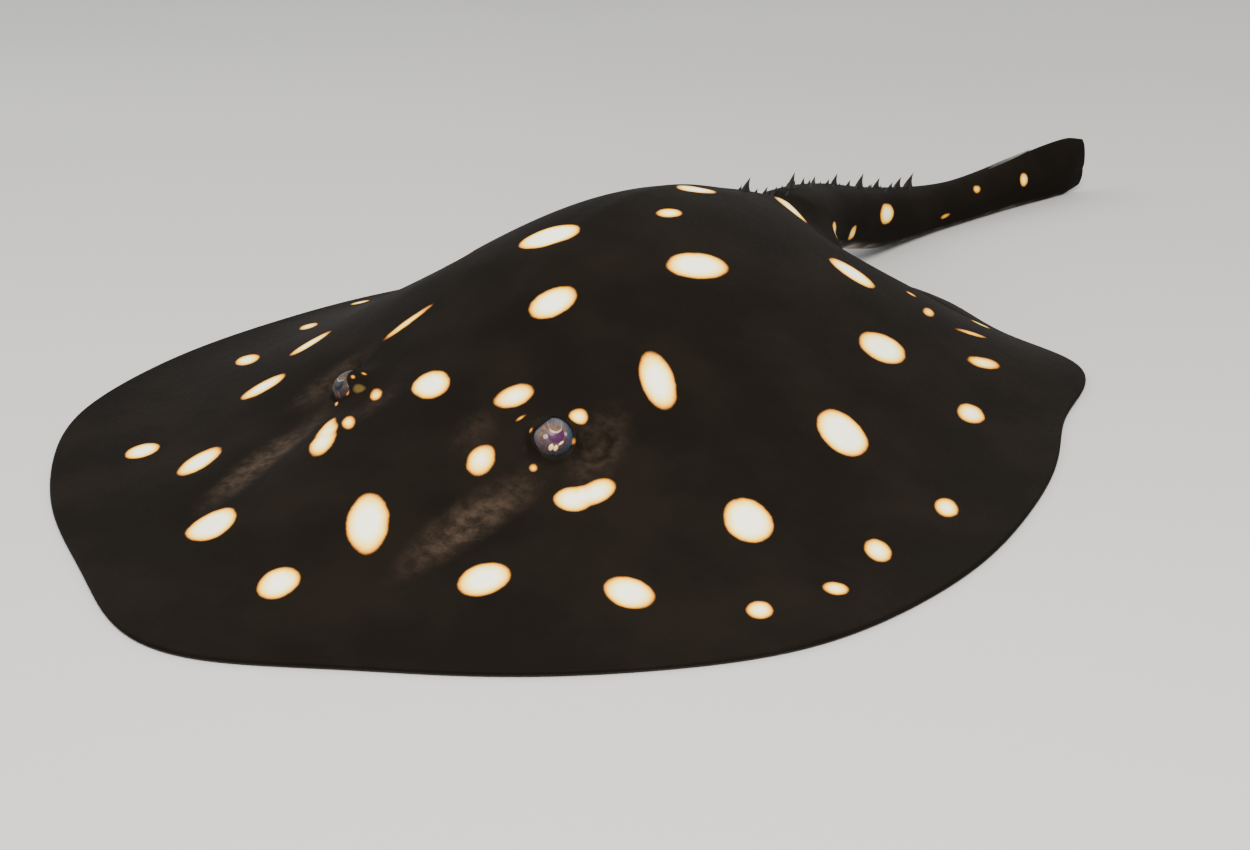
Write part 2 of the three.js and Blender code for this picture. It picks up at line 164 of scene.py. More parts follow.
# Small spots round the eyes, in the same terms, as deep as they are wide.
EYE_SPOTS = [
    (51.2, -65, 4.6, 3.4, 115), (49.9, -90.9, 1.3, 1.2, 0), (34, -77.4, 2.3, 0.7, 75),
    (45.2, -85.7, 0.8, 0.6, 150), (-46.2, -89.3, 1.0, 1.0, 0), (-42.3, -86.8, 1.0, 0.7, 90),
    (-43.2, -82.4, 0.8, 0.7, 0), (-41.6, -77.9, 0.8, 0.6, 20),
]
# Dull olive spots, in the same terms.
DULL_SPOTS = [(-38.6, -84.2, 2.4, 1.6, 25), (-71, 34, 4.0, 2.6, 80), (50.1, -82.3, 1.2, 0.7, 35)]
DULL_DEPTH = 3.0
# Spots of the tail's flanks: side (1 left), place, height, half length and half height.
TAIL_SPOTS = [
    (1, 197, 37.5, 9.0, 6.0), (1, 247, 25, 4.5, 4.5), (1, 291, 26, 9.0, 5.5), (1, 361, 10, 3.5, 1.2),
    (1, 392, 20, 3.0, 1.8), (1, 435, 18.5, 3.6, 3.9),
    (-1, 222, 36, 5.5, 4.5), (-1, 262, 28, 5.0, 4.0), (-1, 315, 19, 6.5, 4.5), (-1, 380, 15, 4.0, 2.6),
    (-1, 452, 20, 3.4, 3.2),
]
# A narrow spot that stands upright on the rim of the left eye's hood: middle and half sizes.
HOOD_SPOT = ((57.6, -77.6, 34.8), (1.0, 0.8, 2.6))
FLANK_REACH = 6.0  # how far a spot of the tail reaches into it
SPOT_DEPTH = 40.0  # how far a spot of the back reaches down
ABOVE_ALL = 200.0  # a height above the whole animal

SKIN_NODES = [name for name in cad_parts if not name.startswith(("eye", "sting"))]


def box_middle(node):
    low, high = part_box(node)
    return (np.array(low) + np.array(high)) / 2


# The left eye fixes the animal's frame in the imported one.
SHIFT = box_middle("eye_left") / MM - EYES["left"]


def to_scene(points):
    """From the animal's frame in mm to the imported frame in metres."""
    return (np.asarray(points, float) + SHIFT) * MM


def to_body(points):
    return np.asarray(points, float) / MM - SHIFT


# ---- curves and fields


def smoothstep(low, high, value):
    t = np.clip((value - low) / (high - low), 0, 1)
    return t * t * (3 - 2 * t)


def hermite(t, a, b, leaving, arriving):
    """Smooth step from a to b, with the slope it leaves and arrives with."""
    t2, t3 = t * t, t * t * t
    ends = (2 * t3 - 3 * t2 + 1) * a + (3 * t2 - 2 * t3) * b
    return ends + (t3 - 2 * t2 + t) * leaving + (t3 - t2) * arriving


def curve_through(table, place):
    """Smooth curve through pairs of place and value."""
    places = np.array([row[0] for row in table], float)
    values = np.array([row[1] for row in table], float)
    places = np.concatenate([places[:1] - 1e-6, places, places[-1:] + 1e-6])
    values = np.concatenate([values[:1], values, values[-1:]])
    i = np.clip(np.searchsorted(places, place, side="right") - 1, 1, len(places) - 3)
    p0, p1, p2, p3 = (places[i + k] for k in (-1, 0, 1, 2))
    v0, v1, v2, v3 = (values[i + k] for k in (-1, 0, 1, 2))
    t = np.clip((place - p1) / (p2 - p1), 0, 1)
    return hermite(t, v1, v2, (v2 - v0) / (p2 - p0) * (p2 - p1), (v3 - v1) / (p3 - p1) * (p2 - p1))


def hill(x, y, place):
    cx, cy, across, along = place
    return np.exp(-0.5 * (((x - cx) / across) ** 2 + ((y - cy) / along) ** 2))


def distance_to_path(x, y, path):
    """Distance in plan to a line through points."""
    best = np.full(np.shape(x), 1e9)
    for (ax, ay), (bx, by) in zip(path, path[1:]):
        dx, dy = bx - ax, by - ay
        t = np.clip(((x - ax) * dx + (y - ay) * dy) / (dx * dx + dy * dy), 0, 1)
        best = np.minimum(best, np.hypot(x - ax - t * dx, y - ay - t * dy))
    return best


def valley(x, y, path, spread):
    """1 on the line through points, falling away on both sides of it."""
    return np.exp(-0.5 * (distance_to_path(x, y, path) / spread) ** 2)


def smooth_least(a, b, blend):
    h = np.clip(0.5 + 0.5 * (b - a) / blend, 0, 1)
    return b + (a - b) * h - blend * h * (1 - h)


def smooth_most(a, b, blend):
    return -smooth_least(-a, -b, blend)


# ---- the disc


def reach_at(bearing):
    """Reach to the margin: the oval, and each wave on the sides where it stands."""
    angle = np.radians(bearing)
    reach = HALF_WIDTH * HALF_LENGTH / np.hypot(HALF_LENGTH * np.sin(angle), HALF_WIDTH * np.cos(angle))
    for place, spread, rise in WAVES.values():
        for side in (1,) if place % 180 == 0 else SIDES.values():
            off = (bearing - side * place + 180) % 360 - 180
            reach = reach + rise * np.exp(-0.5 * (off / spread) ** 2)
    return reach


def lift_at(bearing, share):
    away = np.abs(np.asarray(bearing) % 360 - LIFT["bearing"])
    lifted = LIFT["rise"] * (1 - smoothstep(LIFT["full"], LIFT["ends"], away))
    return lifted * smoothstep(LIFT["from"], 1, share)


def swell_at(x, y):
    """Rise of the back over the margin's level, before it falls away to the margin."""
    swell = sum(rise * hill(x, y, place) for *place, rise in MIDDLE_SWELLS.values())
    for px, py, across, along, *rises in PAIRED_SWELLS.values():
        for side, rise in zip(SIDES.values(), rises):
            swell = swell + rise * hill(x, y, (side * px, py, across, along))
    return swell


# Small forms of the back: line through points, rise and spread. All but the spine's are on both
# sides, and so are the mounds: x, y, spread across and along, rise.
SPINE_RIDGE = ([(0, -40), (-6, 0), (-8, 60), (-4, 110), (0, 150)], 0.9, 4.5)
BACK_LINES = {
    "cheek groove": ([(42, -166), (46, -144), (48, -118), (53, -98)], -2.4, 8.0),
    "girdle": ([(104, 4), (78, -8), (50, -11), (22, -6), (0, -2)], 0.6, 8.0),
    "gill region": ([(74, -56), (84, -30), (88, -4), (84, 24)], -0.6, 9.0),
    "pelvic crease": ([(106, 206), (76, 176), (44, 160), (24, 160)], -2.2, 4.0),
}
BACK_MOUNDS = {"before the eye": (30, -112, 12, 30, 1.6), "behind the brow": (22, -66, 10, 22, -1.4)}
# Hollows of the underside in the same terms, upwards from the floor.
BELLY_LINES = {
    "mouth": ([(-19, -147), (-10, -150), (0, -151), (10, -150), (19, -147)], 4.2, 1.5),
    "nostril": ([(17, -160), (20, -164), (24, -165)], 3.4, 1.7),
    "vent": ([(0, 150), (0, 166)], 3.0, 1.7),
    "pelvic fold": ([(12, 150), (40, 158), (78, 182)], 1.6, 2.4),
}
LIPS = {"away": 5.5, "spread": 1.6, "depth": 1.1}  # a fold round the mouth
# The flap of skin before the mouth: its fringed edge, and how far it reaches to each side.
CURTAIN = {"y": -155.5, "fringe": 0.7, "crowding": 1.9, "spread": 0.9, "depth": 1.3, "side": (15, 18)}
GILL_SLITS = {"count": 5, "first": (57, -108), "step": (-4.2, 15.5)}
GILL_SLIT = [(-6.5, 1.6), (-2, -0.4), (3, -0.2), (7, 2)]


def back_relief(x, y):
    """Small forms of the back: grooves of the head, gill region, girdle and creases."""
    path, rise, spread = SPINE_RIDGE
    relief = rise * valley(x, y, path, spread)
    for side in SIDES.values():
        for path, rise, spread in BACK_LINES.values():
            relief += rise * valley(side * x, y, path, spread)
        for *place, rise in BACK_MOUNDS.values():
            relief += rise * hill(side * x, y, place)
    return relief


def belly_relief(x, y):
    """Hollows of the underside: mouth, nostrils, gill slits and vent."""
    ax = np.abs(x)
    relief = sum(depth * valley(ax, y, path, spread) for path, depth, spread in BELLY_LINES.values())
    from_lips = (distance_to_path(x, y, BELLY_LINES["mouth"][0]) - LIPS["away"]) / LIPS["spread"]
    relief += LIPS["depth"] * np.exp(-0.5 * from_lips**2)
    fringe = CURTAIN["y"] + CURTAIN["fringe"] * np.sin(x * CURTAIN["crowding"])
    curtain = np.exp(-0.5 * ((y - fringe) / CURTAIN["spread"]) ** 2)
    relief += CURTAIN["depth"] * curtain * (1 - smoothstep(*CURTAIN["side"], ax))
    for k in range(GILL_SLITS["count"]):
        gx, gy = (first + step * k for first, step in zip(GILL_SLITS["first"], GILL_SLITS["step"]))
        slit = [(gx + dx, gy + dy) for dx, dy in GILL_SLIT]
        relief += 2.0 * valley(ax, y, slit, 1.0) + 0.5 * valley(ax, y - 2.4, slit, 1.4)
    return relief


# Shares of the reach between which the relief comes in, heights of the belly between which its own
# fades, and the least share of it that stays.
RELIEF_COMES = (1.0, 0.86)
RELIEF_FADES = (0.5, 3.0)
LEAST_RELIEF = 0.3


def levels_at(bearing, share):
    """Plan place and heights of back and belly at a share of the way out to the margin."""
    angle = np.radians(bearing)
    reach = share * reach_at(bearing)
    x, y = reach * np.sin(angle), -reach * np.cos(angle)
    floor = lift_at(bearing, share)
    full = 1 - np.clip(share, 0, 1) ** SHOULDER
    swell = swell_at(x, y)
    inland = smoothstep(*RELIEF_COMES, share)
    bare = floor + RIM + swell * full
    core = CORE_DEPTH * hill(x, y, CORE) * full
    flesh = RIM + FIN_DEPTH * (1 - np.clip(share, 0, 1) ** FIN_TAPER) + core
    belly = np.maximum(floor, bare - flesh)
    flat = 1 - smoothstep(*RELIEF_FADES, belly)
    back = bare + back_relief(x, y) * inland
    belly = belly + belly_relief(x, y) * np.minimum(inland, np.maximum(flat, LEAST_RELIEF))
    return x, y, back, belly


def bearing_and_share(x, y):
    bearing = np.degrees(np.arctan2(x, -y)) % 360
    return bearing, np.minimum(1, np.hypot(x, y) / reach_at(bearing))


def back_height(x, y):
    return levels_at(*bearing_and_share(x, y))[2]


def belly_height(x, y):
    return levels_at(*bearing_and_share(x, y))[3]


# ---- the tail

TAIL_STEPS = np.linspace(0, 1, 40 * (len(TAIL_LINE) - 1) + 1)


def catmull_rom(points, shares):
    """Centripetal curve through points, at shares of its run."""
    pts = np.array(points, float)
    pts = np.vstack([2 * pts[0] - pts[1], pts, 2 * pts[-1] - pts[-2]])
    count = len(points) - 1
    i = np.minimum((shares * count).astype(int), count - 1)
    t = (shares * count - i)[:, None]
    p0, p1, p2, p3 = pts[i], pts[i + 1], pts[i + 2], pts[i + 3]
    d0, d1, d2 = (
        np.maximum(np.linalg.norm(b - a, axis=1, keepdims=True) ** 0.5, 1e-6)
        for a, b in ((p0, p1), (p1, p2), (p2, p3))
    )
    m1 = ((p1 - p0) / d0 - (p2 - p0) / (d0 + d1) + (p2 - p1) / d1) * d1
    m2 = ((p2 - p1) / d1 - (p3 - p1) / (d1 + d2) + (p3 - p2) / d2) * d1
    return hermite(t, p1, p2, m1, m2)


TAIL_CURVE = catmull_rom(TAIL_LINE, TAIL_STEPS)


def tail_place(y):
    """Middle of the tail in plan at a place y, and the direction that it runs in there."""
    x = np.interp(y, TAIL_CURVE[:, 1], TAIL_CURVE[:, 0])
    slope = np.gradient(TAIL_CURVE[:, 0], TAIL_CURVE[:, 1])
    slope = np.interp(y, TAIL_CURVE[:, 1], slope)
    long = np.hypot(1, slope)
    return x, slope / long, 1 / long


def beside_tail(y, across, z):
    """Points at places down the tail, across from its middle and at a height."""
    x, along_x, along_y = tail_place(y)
    return np.stack([x + along_y * across, y - along_x * across, z], axis=1)


def tail_size(column, y):
    """One column of the tail's sections at a place y."""
    return curve_through([(row[0], row[column]) for row in TAIL_SECTIONS], y)


def tail_top(y):
    return tail_size(2, y) + tail_size(3, y)


# ---- the head's field

HOOD_RADIUS, HOOD_BLEND = 8.7, 3.0  # skin drawn over the eyeball
# From an eye's middle, x outwards: the mound that carries it, and the spiracle behind it.
BROW = {"middle": (-3.5, 4.5, -6.5), "radius": 12.2, "blend": 8.0}
SPIRACLE = {
    "middle": (14.5, 7.5, 0.0), "half": (4.6, 9.5, 5.0), "turn": 0.2, "above": 2.0, "blend": 3.5,
}
# The eye's face, in shares of the eyeball's radius from its axis, across to the outer corner and
# up: patches of the iris with their half sizes, turn and colour, and the pupil with its flap.
IRIS_PATCHES = [
    ((-0.34, 0.06), (0.12, 0.10), 20, "pale"), ((0.57, 0.13), (0.07, 0.08), 0, "pale"),
    ((-0.13, -0.43), (0.10, 0.14), -25, "gold"), ((0.08, -0.47), (0.09, 0.13), -30, "gold"),
    ((0.33, -0.27), (0.14, 0.045), 35, "gold"),
]
PAINTED_PATCH_LIGHT = {"left": 1.0, "right": 0.12}  # how bright the patches shine: painted shade dims them on the right eye
PAINTED_EYE_LIGHT = {"left": 1.0, "right": 0.42}  # how bright the whole eye is: painted shade darkens the right eye, which lies out of the light
PUPIL = {"middle": (0.13, 0.08), "half": (0.38, 0.33), "flap": 0.195, "flap_half": 0.27}
# The lids: degrees from the opening's middle to its edge, how far that middle leans across and up
# from the socket's axis, and the share of the eyeball's radius at which the upper lid hangs across
# the inner corner. The opening is cut by a ball that lies "out" on its axis.
LIDS = {
    "opening": {"left": 65.0, "right": 65.5}, "hang": {"left": 0.78, "right": 0.80},
    "lean": {"left": (0.13, 0.24), "right": (-0.02, 0.22)}, "slant": (-0.57, 0.82), "blend": 0.5,
    "out": 12.0, "corner": 1.5,
}


def directions_about(word, axis):
    """Across an eye towards its outer corner, up, and along the axis."""
    side = SIDES[word]
    axis = np.array(axis) / np.linalg.norm(axis)
    up = np.array([0, 0, 1]) - axis[2] * axis
    up /= np.linalg.norm(up)
    return side * np.cross(up, axis), up, axis


def socket_directions(word):
    x, y, z = SOCKET_AXIS
    return directions_about(word, (SIDES[word] * x, y, z))


def beside_eye(word, offset):
    """A place given from an eye's middle, with x outwards."""
    return EYES[word] + np.array(offset) * (SIDES[word], 1, 1)


def spiracle_field(points, word):
    """Distance to the hollow behind an eye."""
    cx, cy, _ = beside_eye(word, SPIRACLE["middle"])
    cz = float(back_height(np.array([cx]), np.array([cy]))[0]) + SPIRACLE["above"]
    turn = SIDES[word] * SPIRACLE["turn"]
    x, y, z = (points - (cx, cy, cz)).T
    u = x * math.cos(turn) + y * math.sin(turn)
    v = -x * math.sin(turn) + y * math.cos(turn)
    a, b, c = SPIRACLE["half"]
    return (np.sqrt((u / a) ** 2 + (v / b) ** 2 + (z / c) ** 2) - 1) * min(a, b, c)


def lids_field(points, word):
    """Distance to the opening of the lids: below 0 where the eyeball lies bare."""
    across, up, axis = socket_directions(word)
    local = points - EYES[word]
    edge = math.radians(LIDS["opening"][word])
    out = LIDS["out"]
    cut = math.hypot(EYE_RADIUS * math.sin(edge), out - EYE_RADIUS * math.cos(edge))
    lean_across, lean_up = LIDS["lean"][word]
    towards = axis + lean_across * across + lean_up * up
    opening = np.linalg.norm(local - out * towards / np.linalg.norm(towards), axis=1) - cut
    slant_across, slant_up = LIDS["slant"]
    hang = local @ (slant_across * across + slant_up * up) - LIDS["hang"][word] * EYE_RADIUS
    return smooth_most(opening, hang, LIDS["corner"])


def ground_field(points):
    """Distance to the back below the head's details, and its slope."""
    x, y, z = points.T
    step = 0.5
    height = back_height(x, y)
    slope_x = (back_height(x + step, y) - height) / step
    slope_y = (back_height(x, y + step) - height) / step
    long = np.sqrt(1 + slope_x**2 + slope_y**2)
    return (z - height) / long, np.stack([-slope_x / long, -slope_y / long, 1 / long], axis=1)


def head_field(points, ground, word):
    """Distance to the skin about an eye: below 0 inside the flesh."""
    brow = np.linalg.norm(points - beside_eye(word, BROW["middle"]), axis=1) - BROW["radius"]
    hood = np.linalg.norm(points - EYES[word], axis=1) - HOOD_RADIUS
    field = smooth_least(ground, brow, BROW["blend"])
    field = smooth_most(field, -spiracle_field(points, word), SPIRACLE["blend"])
    field = smooth_least(field, hood, HOOD_BLEND)
    return smooth_most(field, -lids_field(points, word), LIDS["blend"])


def field_slope(points, word, step=0.05):
    ground, rise = ground_field(points)
    base = head_field(points, ground, word)
    columns = []
    for axis in range(3):
        moved = points.copy()
        moved[:, axis] += step
        columns.append((head_field(moved, ground + step * rise[:, axis], word) - base) / step)
    return base, np.stack(columns, axis=1)


# ---- working with meshes


def deselect_all():
    if bpy.context.object and bpy.context.object.mode != "OBJECT":
        bpy.ops.object.mode_set(mode="OBJECT")
    bpy.ops.object.select_all(action="DESELECT")


def new_piece(name):
    """The primitive just added, named, at the origin and alone in the selection."""
    piece = bpy.context.object
    piece.name = name
    piece.data.name = name
    bpy.ops.object.transform_apply(location=True, rotation=True, scale=True)
    return piece


def new_sphere(name, segments, rings):
    deselect_all()
    bpy.ops.mesh.primitive_uv_sphere_add(segments=segments, ring_count=rings, radius=1)
    return new_piece(name)


def long_sphere(name, segments, rings):
    """A sphere to be drawn out, with each point's share along it and its angle round it."""
    piece = new_sphere(name, segments, rings)
    x, y, z = points_of(piece).T
    return piece, np.arcsin(np.clip(z, -1, 1)) / math.pi + 0.5, np.arctan2(y, x)


def choose(piece):
    deselect_all()
    piece.select_set(True)
    bpy.context.view_layer.objects.active = piece


def read(items, field, width, kind=np.float32):
    """One field of a mesh's vertices, edges or polygons, as rows."""
    flat = np.empty(len(items) * width, kind)
    items.foreach_get(field, flat)
    return flat.reshape(-1, width)


def points_of(piece):
    return read(piece.data.vertices, "co", 3).astype(float)


def move_points(piece, points):
    piece.data.vertices.foreach_set("co", np.asarray(points, np.float32).ravel())
    piece.data.update()


def face_middles(piece):
    return read(piece.data.polygons, "center", 3).astype(float)


@contextmanager
def edit_mode(action=None):
    """Edit mode for a while, with all, none or what was chosen before."""
    bpy.ops.object.mode_set(mode="EDIT")
    if action:
        bpy.ops.mesh.select_all(action=action)
    yield
    bpy.ops.object.mode_set(mode="OBJECT")


def choose_parts(piece, kind, chosen):
    """Choose some vertices or polygons of a piece, and nothing else."""
    choose(piece)
    bpy.context.tool_settings.mesh_select_mode = (kind == "vertices", False, kind == "polygons")
    with edit_mode("DESELECT"):
        pass
    getattr(piece.data, kind).foreach_set("select", np.asarray(chosen, bool))


def face_outwards(piece):
    choose(piece)
    with edit_mode("SELECT"):
        bpy.ops.mesh.normals_make_consistent(inside=False)


def edges_of(piece):
    return read(piece.data.edges, "vertices", 2, np.int32)


def neighbours_mean(points, edges):
    count = np.zeros(len(points))
    total = np.zeros_like(points)
    for a, b in ((edges[:, 0], edges[:, 1]), (edges[:, 1], edges[:, 0])):
        count += np.bincount(a, minlength=len(points))
        for axis in range(points.shape[1]):
            total[:, axis] += np.bincount(a, weights=points[b, axis], minlength=len(points))
    return total / np.maximum(count, 1)[:, None]


def shade_smooth(piece):
    choose(piece)
    bpy.ops.object.shade_smooth()


def store(piece, name, values):
    attribute = piece.data.attributes.new(name, "FLOAT", "POINT")
    attribute.data.foreach_set("value", np.asarray(values, np.float32))


def stored(piece, name):
    return read(piece.data.attributes[name].data, "value", 1)[:, 0]


def nearest(points, others):
    """Distance from each point to the nearest of some others."""
    tree = KDTree(len(others))
    for i, other in enumerate(others):
        tree.insert(other, i)
    tree.balance()
    return np.array([tree.find(Vector(point))[2] for point in points])


# ---- materials


# Scale, detail and roughness of each noise.
NOISES = {
    "cloud": (24.0, 4.0, 0.55), "grain": (1100.0, 3.0, 0.6), "mottle": (190.0, 5.0, 0.7),
    "fray": (380.0, 3.0, 0.6), "wander": (85.0, 2.0, 0.5), "blotch": (60.0, 4.0, 0.6),
    "folds": (120.0, 4.0, 0.55), "fleck": (5.0, 4.0, 0.62), "eye_edges": (9.0, 3.0, 0.6),
    "fibre": (1400.0, 4.0, 0.6), "floor tone": (1.3, 2.0, 0.5),
}
PORES_SCALE = 900.0
# Depth in metres and strength of each bump.
BUMPS = {
    "folds": (0.0008, 0.30), "pores": (0.00016, 0.35), "grain": (0.00010, 0.4),
    "fleck": (0.0003, 0.3), "fibre": (0.0004, 0.4),
}


class Nodes:
    """A short way to add and join the nodes of one material or node group."""

    def __init__(self, tree):
        self.tree = tree

    def add(self, kind, inputs=None, **settings):
        node = self.tree.nodes.new(kind)
        for key, value in settings.items():
            setattr(node, key, value)
        for key, value in (inputs or {}).items():
            self.put(node.inputs[key], value)
        return node

    def put(self, socket, value):
        if isinstance(value, bpy.types.NodeSocket):
            self.tree.links.new(value, socket)
        else:
            socket.default_value = value

    def math(self, operation, *values):
        node = self.add("ShaderNodeMath", operation=operation)
        for socket, value in zip(node.inputs, values):
            self.put(socket, value)
        return node.outputs[0]

    def mix(self, share, a, b):
        node = self.add("ShaderNodeMix", data_type="RGBA")
        for key, value in ((0, share), (6, a), (7, b)):
            self.put(node.inputs[key], value)
        return node.outputs[2]

    def between(self, value, low, high, to_low=0.0, to_high=1.0):
        node = self.add("ShaderNodeMapRange", interpolation_type="SMOOTHSTEP")
        for socket, given in zip(node.inputs, (value, low, high, to_low, to_high)):
            self.put(socket, given)
        return node.outputs[0]

    def noise(self, vector, name):
        given = dict(zip(("Scale", "Detail", "Roughness"), NOISES[name]), Vector=vector)
        return self.add("ShaderNodeTexNoise", given).outputs["Fac"]

    def wobble(self, vector, name):
        """Noise about 0."""
        return self.math("SUBTRACT", self.noise(vector, name), 0.5)

    def ramp(self, value, stops):
        node = self.add("ShaderNodeValToRGB", {"Fac": value})
        elements = node.color_ramp.elements
        while len(elements) < len(stops):
            elements.new(0.5)
        for element, (place, colour) in zip(elements, stops):
            element.position = place
            element.color = colour
        return node.outputs["Color"]


def new_material(name):
    material = bpy.data.materials.new(name)
    material.use_nodes = True
    material.node_tree.nodes.clear()
    nodes = Nodes(material.node_tree)
    shader = nodes.add("ShaderNodeBsdfPrincipled")
    output = nodes.add("ShaderNodeOutputMaterial")
    nodes.tree.links.new(shader.outputs[0], output.inputs["Surface"])
    return material, nodes, shader


def object_place(nodes):
    return nodes.add("ShaderNodeTexCoord").outputs["Object"]


def bumped(nodes, shader, **textures):
    """Bump from textures, laid one over another."""
    normal = None
    for name, texture in textures.items():
        depth, strength = BUMPS[name]
        height = nodes.math("MULTIPLY", texture, depth)
        given = {"Height": height, "Strength": strength, "Distance": 1.0}
        if normal is not None:
            given["Normal"] = normal
        normal = nodes.add("ShaderNodeBump", given).outputs["Normal"]
    nodes.put(shader.inputs["Normal"], normal)


def oval_length(nodes, place, middle, half_sizes, angle):
    """How many half sizes a point lies from the middle of an oval that is turned in plan."""
    local = nodes.add("ShaderNodeVectorMath", {0: place, 1: middle}, operation="SUBTRACT")
    given = {"Vector": local.outputs[0], "Angle": angle}
    turned = nodes.add("ShaderNodeVectorRotate", given, rotation_type="Z_AXIS")
    given = {0: turned.outputs[0], 1: half_sizes}
    shares = nodes.add("ShaderNodeVectorMath", given, operation="DIVIDE")
    length = nodes.add("ShaderNodeVectorMath", {0: shares.outputs[0]}, operation="LENGTH")
    return length.outputs["Value"]


SPOT_JOIN = 0.0012  # m over which spots that touch run together


def spot_group():
    """Node group: how far a point lies outside one oval spot, in metres."""
    tree = bpy.data.node_groups.new("oval_spot", "ShaderNodeTree")
    for name, kind in (
        ("Place", "NodeSocketVector"), ("Middle", "NodeSocketVector"),
        ("Half sizes", "NodeSocketVector"), ("Angle", "NodeSocketFloat"),
        ("Width", "NodeSocketFloat"), ("So far", "NodeSocketFloat"),
    ):
        tree.interface.new_socket(name=name, in_out="INPUT", socket_type=kind)
    tree.interface.new_socket(name="Outside", in_out="OUTPUT", socket_type="NodeSocketFloat")
    nodes = Nodes(tree)
    given = nodes.add("NodeGroupInput").outputs
    length = oval_length(nodes, given["Place"], given["Middle"], given["Half sizes"], given["Angle"])
    beyond = nodes.math("SUBTRACT", length, 1.0)
    outside = nodes.math("MULTIPLY", beyond, given["Width"])
    least = nodes.math("SMOOTH_MIN", outside, given["So far"], SPOT_JOIN)
    result = nodes.add("NodeGroupOutput")
    nodes.put(result.inputs[0], least)
    return tree


def skin_surface(piece):
    """The skin as a surface that rays can be cast at."""
    return BVHTree.FromObject(piece, bpy.context.evaluated_depsgraph_get())


def foot_on(surface, x, y):
    """The highest point of the skin at a place in plan, in metres."""
    foot = surface.ray_cast(Vector(to_scene((x, y, ABOVE_ALL))), Vector((0, 0, -1)))[0]
    if foot is None:
        raise RuntimeError(f"no skin at {x:.0f}, {y:.0f}")
    return np.array(foot)


def spots_on_back(table, surface, depth=None):
    """Spots that reach straight down from the back: middle, turn, half sizes and width."""
    spots = []
    for x, y, long, wide, turn in table:
        z = to_body(foot_on(surface, x, y))[2]
        spots.append(((x, y, z), turn, (long, wide, depth or max(wide, 1.0)), wide))
    return spots


def spots_on_flanks():
    """Spots that reach across into the tail's flanks, and the one on the hood of an eye."""
    spots = []
    for side, y, z, long, up in TAIL_SPOTS:
        x, along_x, along_y = (float(v[0]) for v in tail_place(np.array([y])))
        half = side * float(tail_size(1, np.array([y]))[0])
        turn = -math.degrees(math.atan2(along_x, along_y))
        middle = (x + half * along_y, y - half * along_x, z)
        spots.append((middle, turn, (FLANK_REACH, long, up), min(long, up)))
    middle, sizes = HOOD_SPOT
    spots.append((middle, 0.0, sizes, sizes[1]))
    return spots


def spots_distance(nodes, place, group, spots):
    """How far a point lies outside the nearest of some spots, in metres."""
    so_far = 1.0
    for middle, turn, sizes, width in spots:
        given = {
            "Place": place, "Middle": tuple(to_scene(middle)), "Angle": -math.radians(turn),
            "Half sizes": tuple(s * MM for s in sizes), "Width": width * MM, "So far": so_far,
        }
        so_far = nodes.add("ShaderNodeGroup", given, node_tree=group).outputs[0]
    return so_far


def patch(nodes, place, middle, sizes, turn=0.0):
    """Soft patch about a point: 1 in its middle and 0 beyond its half sizes."""
    sizes = tuple(s * MM for s in sizes)
    length = oval_length(nodes, place, tuple(to_scene(middle)), sizes, -math.radians(turn))
    return nodes.between(length, 1.0, 0.15)


# Painted sheen of the head, a brown glare where the skin faces the light, painted into its colour:
# middle, half sizes, turn and strength, x outwards.
PAINTED_SHEEN_PATCHES = [
    ((49, -126, 22), (12, 46, 60), -5, 1.0), ((65, -72, 34), (13, 26, 60), 12, 0.5),
    ((24, -92, 40), (10, 18, 60), 10, 0.25),
]
# Slate skin of the lid, above and outside the left eye's opening and mirrored on the right.
SLATE_SKIN = [((5.5, -3.0, 7.0), (4.5, 4.5, 4.0)), ((-5.5, -6.0, -3.5), (3.5, 3.5, 3.5))]


SPOT_SOFT = 0.0005  # m over which a spot's edge fades, to each side
SPOT_INWARDS = 0.0038  # m from the edge to the spot's own colour
SPOT_FRAY, SPOT_WANDER = 0.0005, 0.0014  # m by which a spot's edge is uneven, fine and coarse
DULL_SOFT = 0.0008  # m over which a dull spot's edge fades inwards
# Where clouds, mottling and the belly's dark margin come in, as values of their noise or share of
# the way to the margin; the second pair of the mottling is its least and most.
CLOUDS, MOTTLING, BELLY_MARGIN = (0.35, 0.7), (0.36, 0.68, 0.2, 1.0), (0.66, 0.86)
BELLY_RAGGED = 0.35  # how much noise moves that margin
MOST_OF_NOISE = (0.3, 0.7)  # between these lies most of a noise
SKIN_SWING, EYE_SWING, HORN_SWING = (-0.05, 0.06), (0.34, 0.46), (0.38, 0.55)  # of roughness
SPOT_STOPS = {"spot_edge": 0.0, "spot_ring": 0.22, "spot_mid": 0.40, "spot_pale": 0.68, "spot": 1.0}
SKIN_SPECULAR, HORN_SPECULAR, EYE_SPECULAR, FLOOR_SPECULAR = 0.012, 0.12, 0.15, 0.2
EYE_COAT, EYE_COAT_ROUGHNESS = 0.12, 0.12


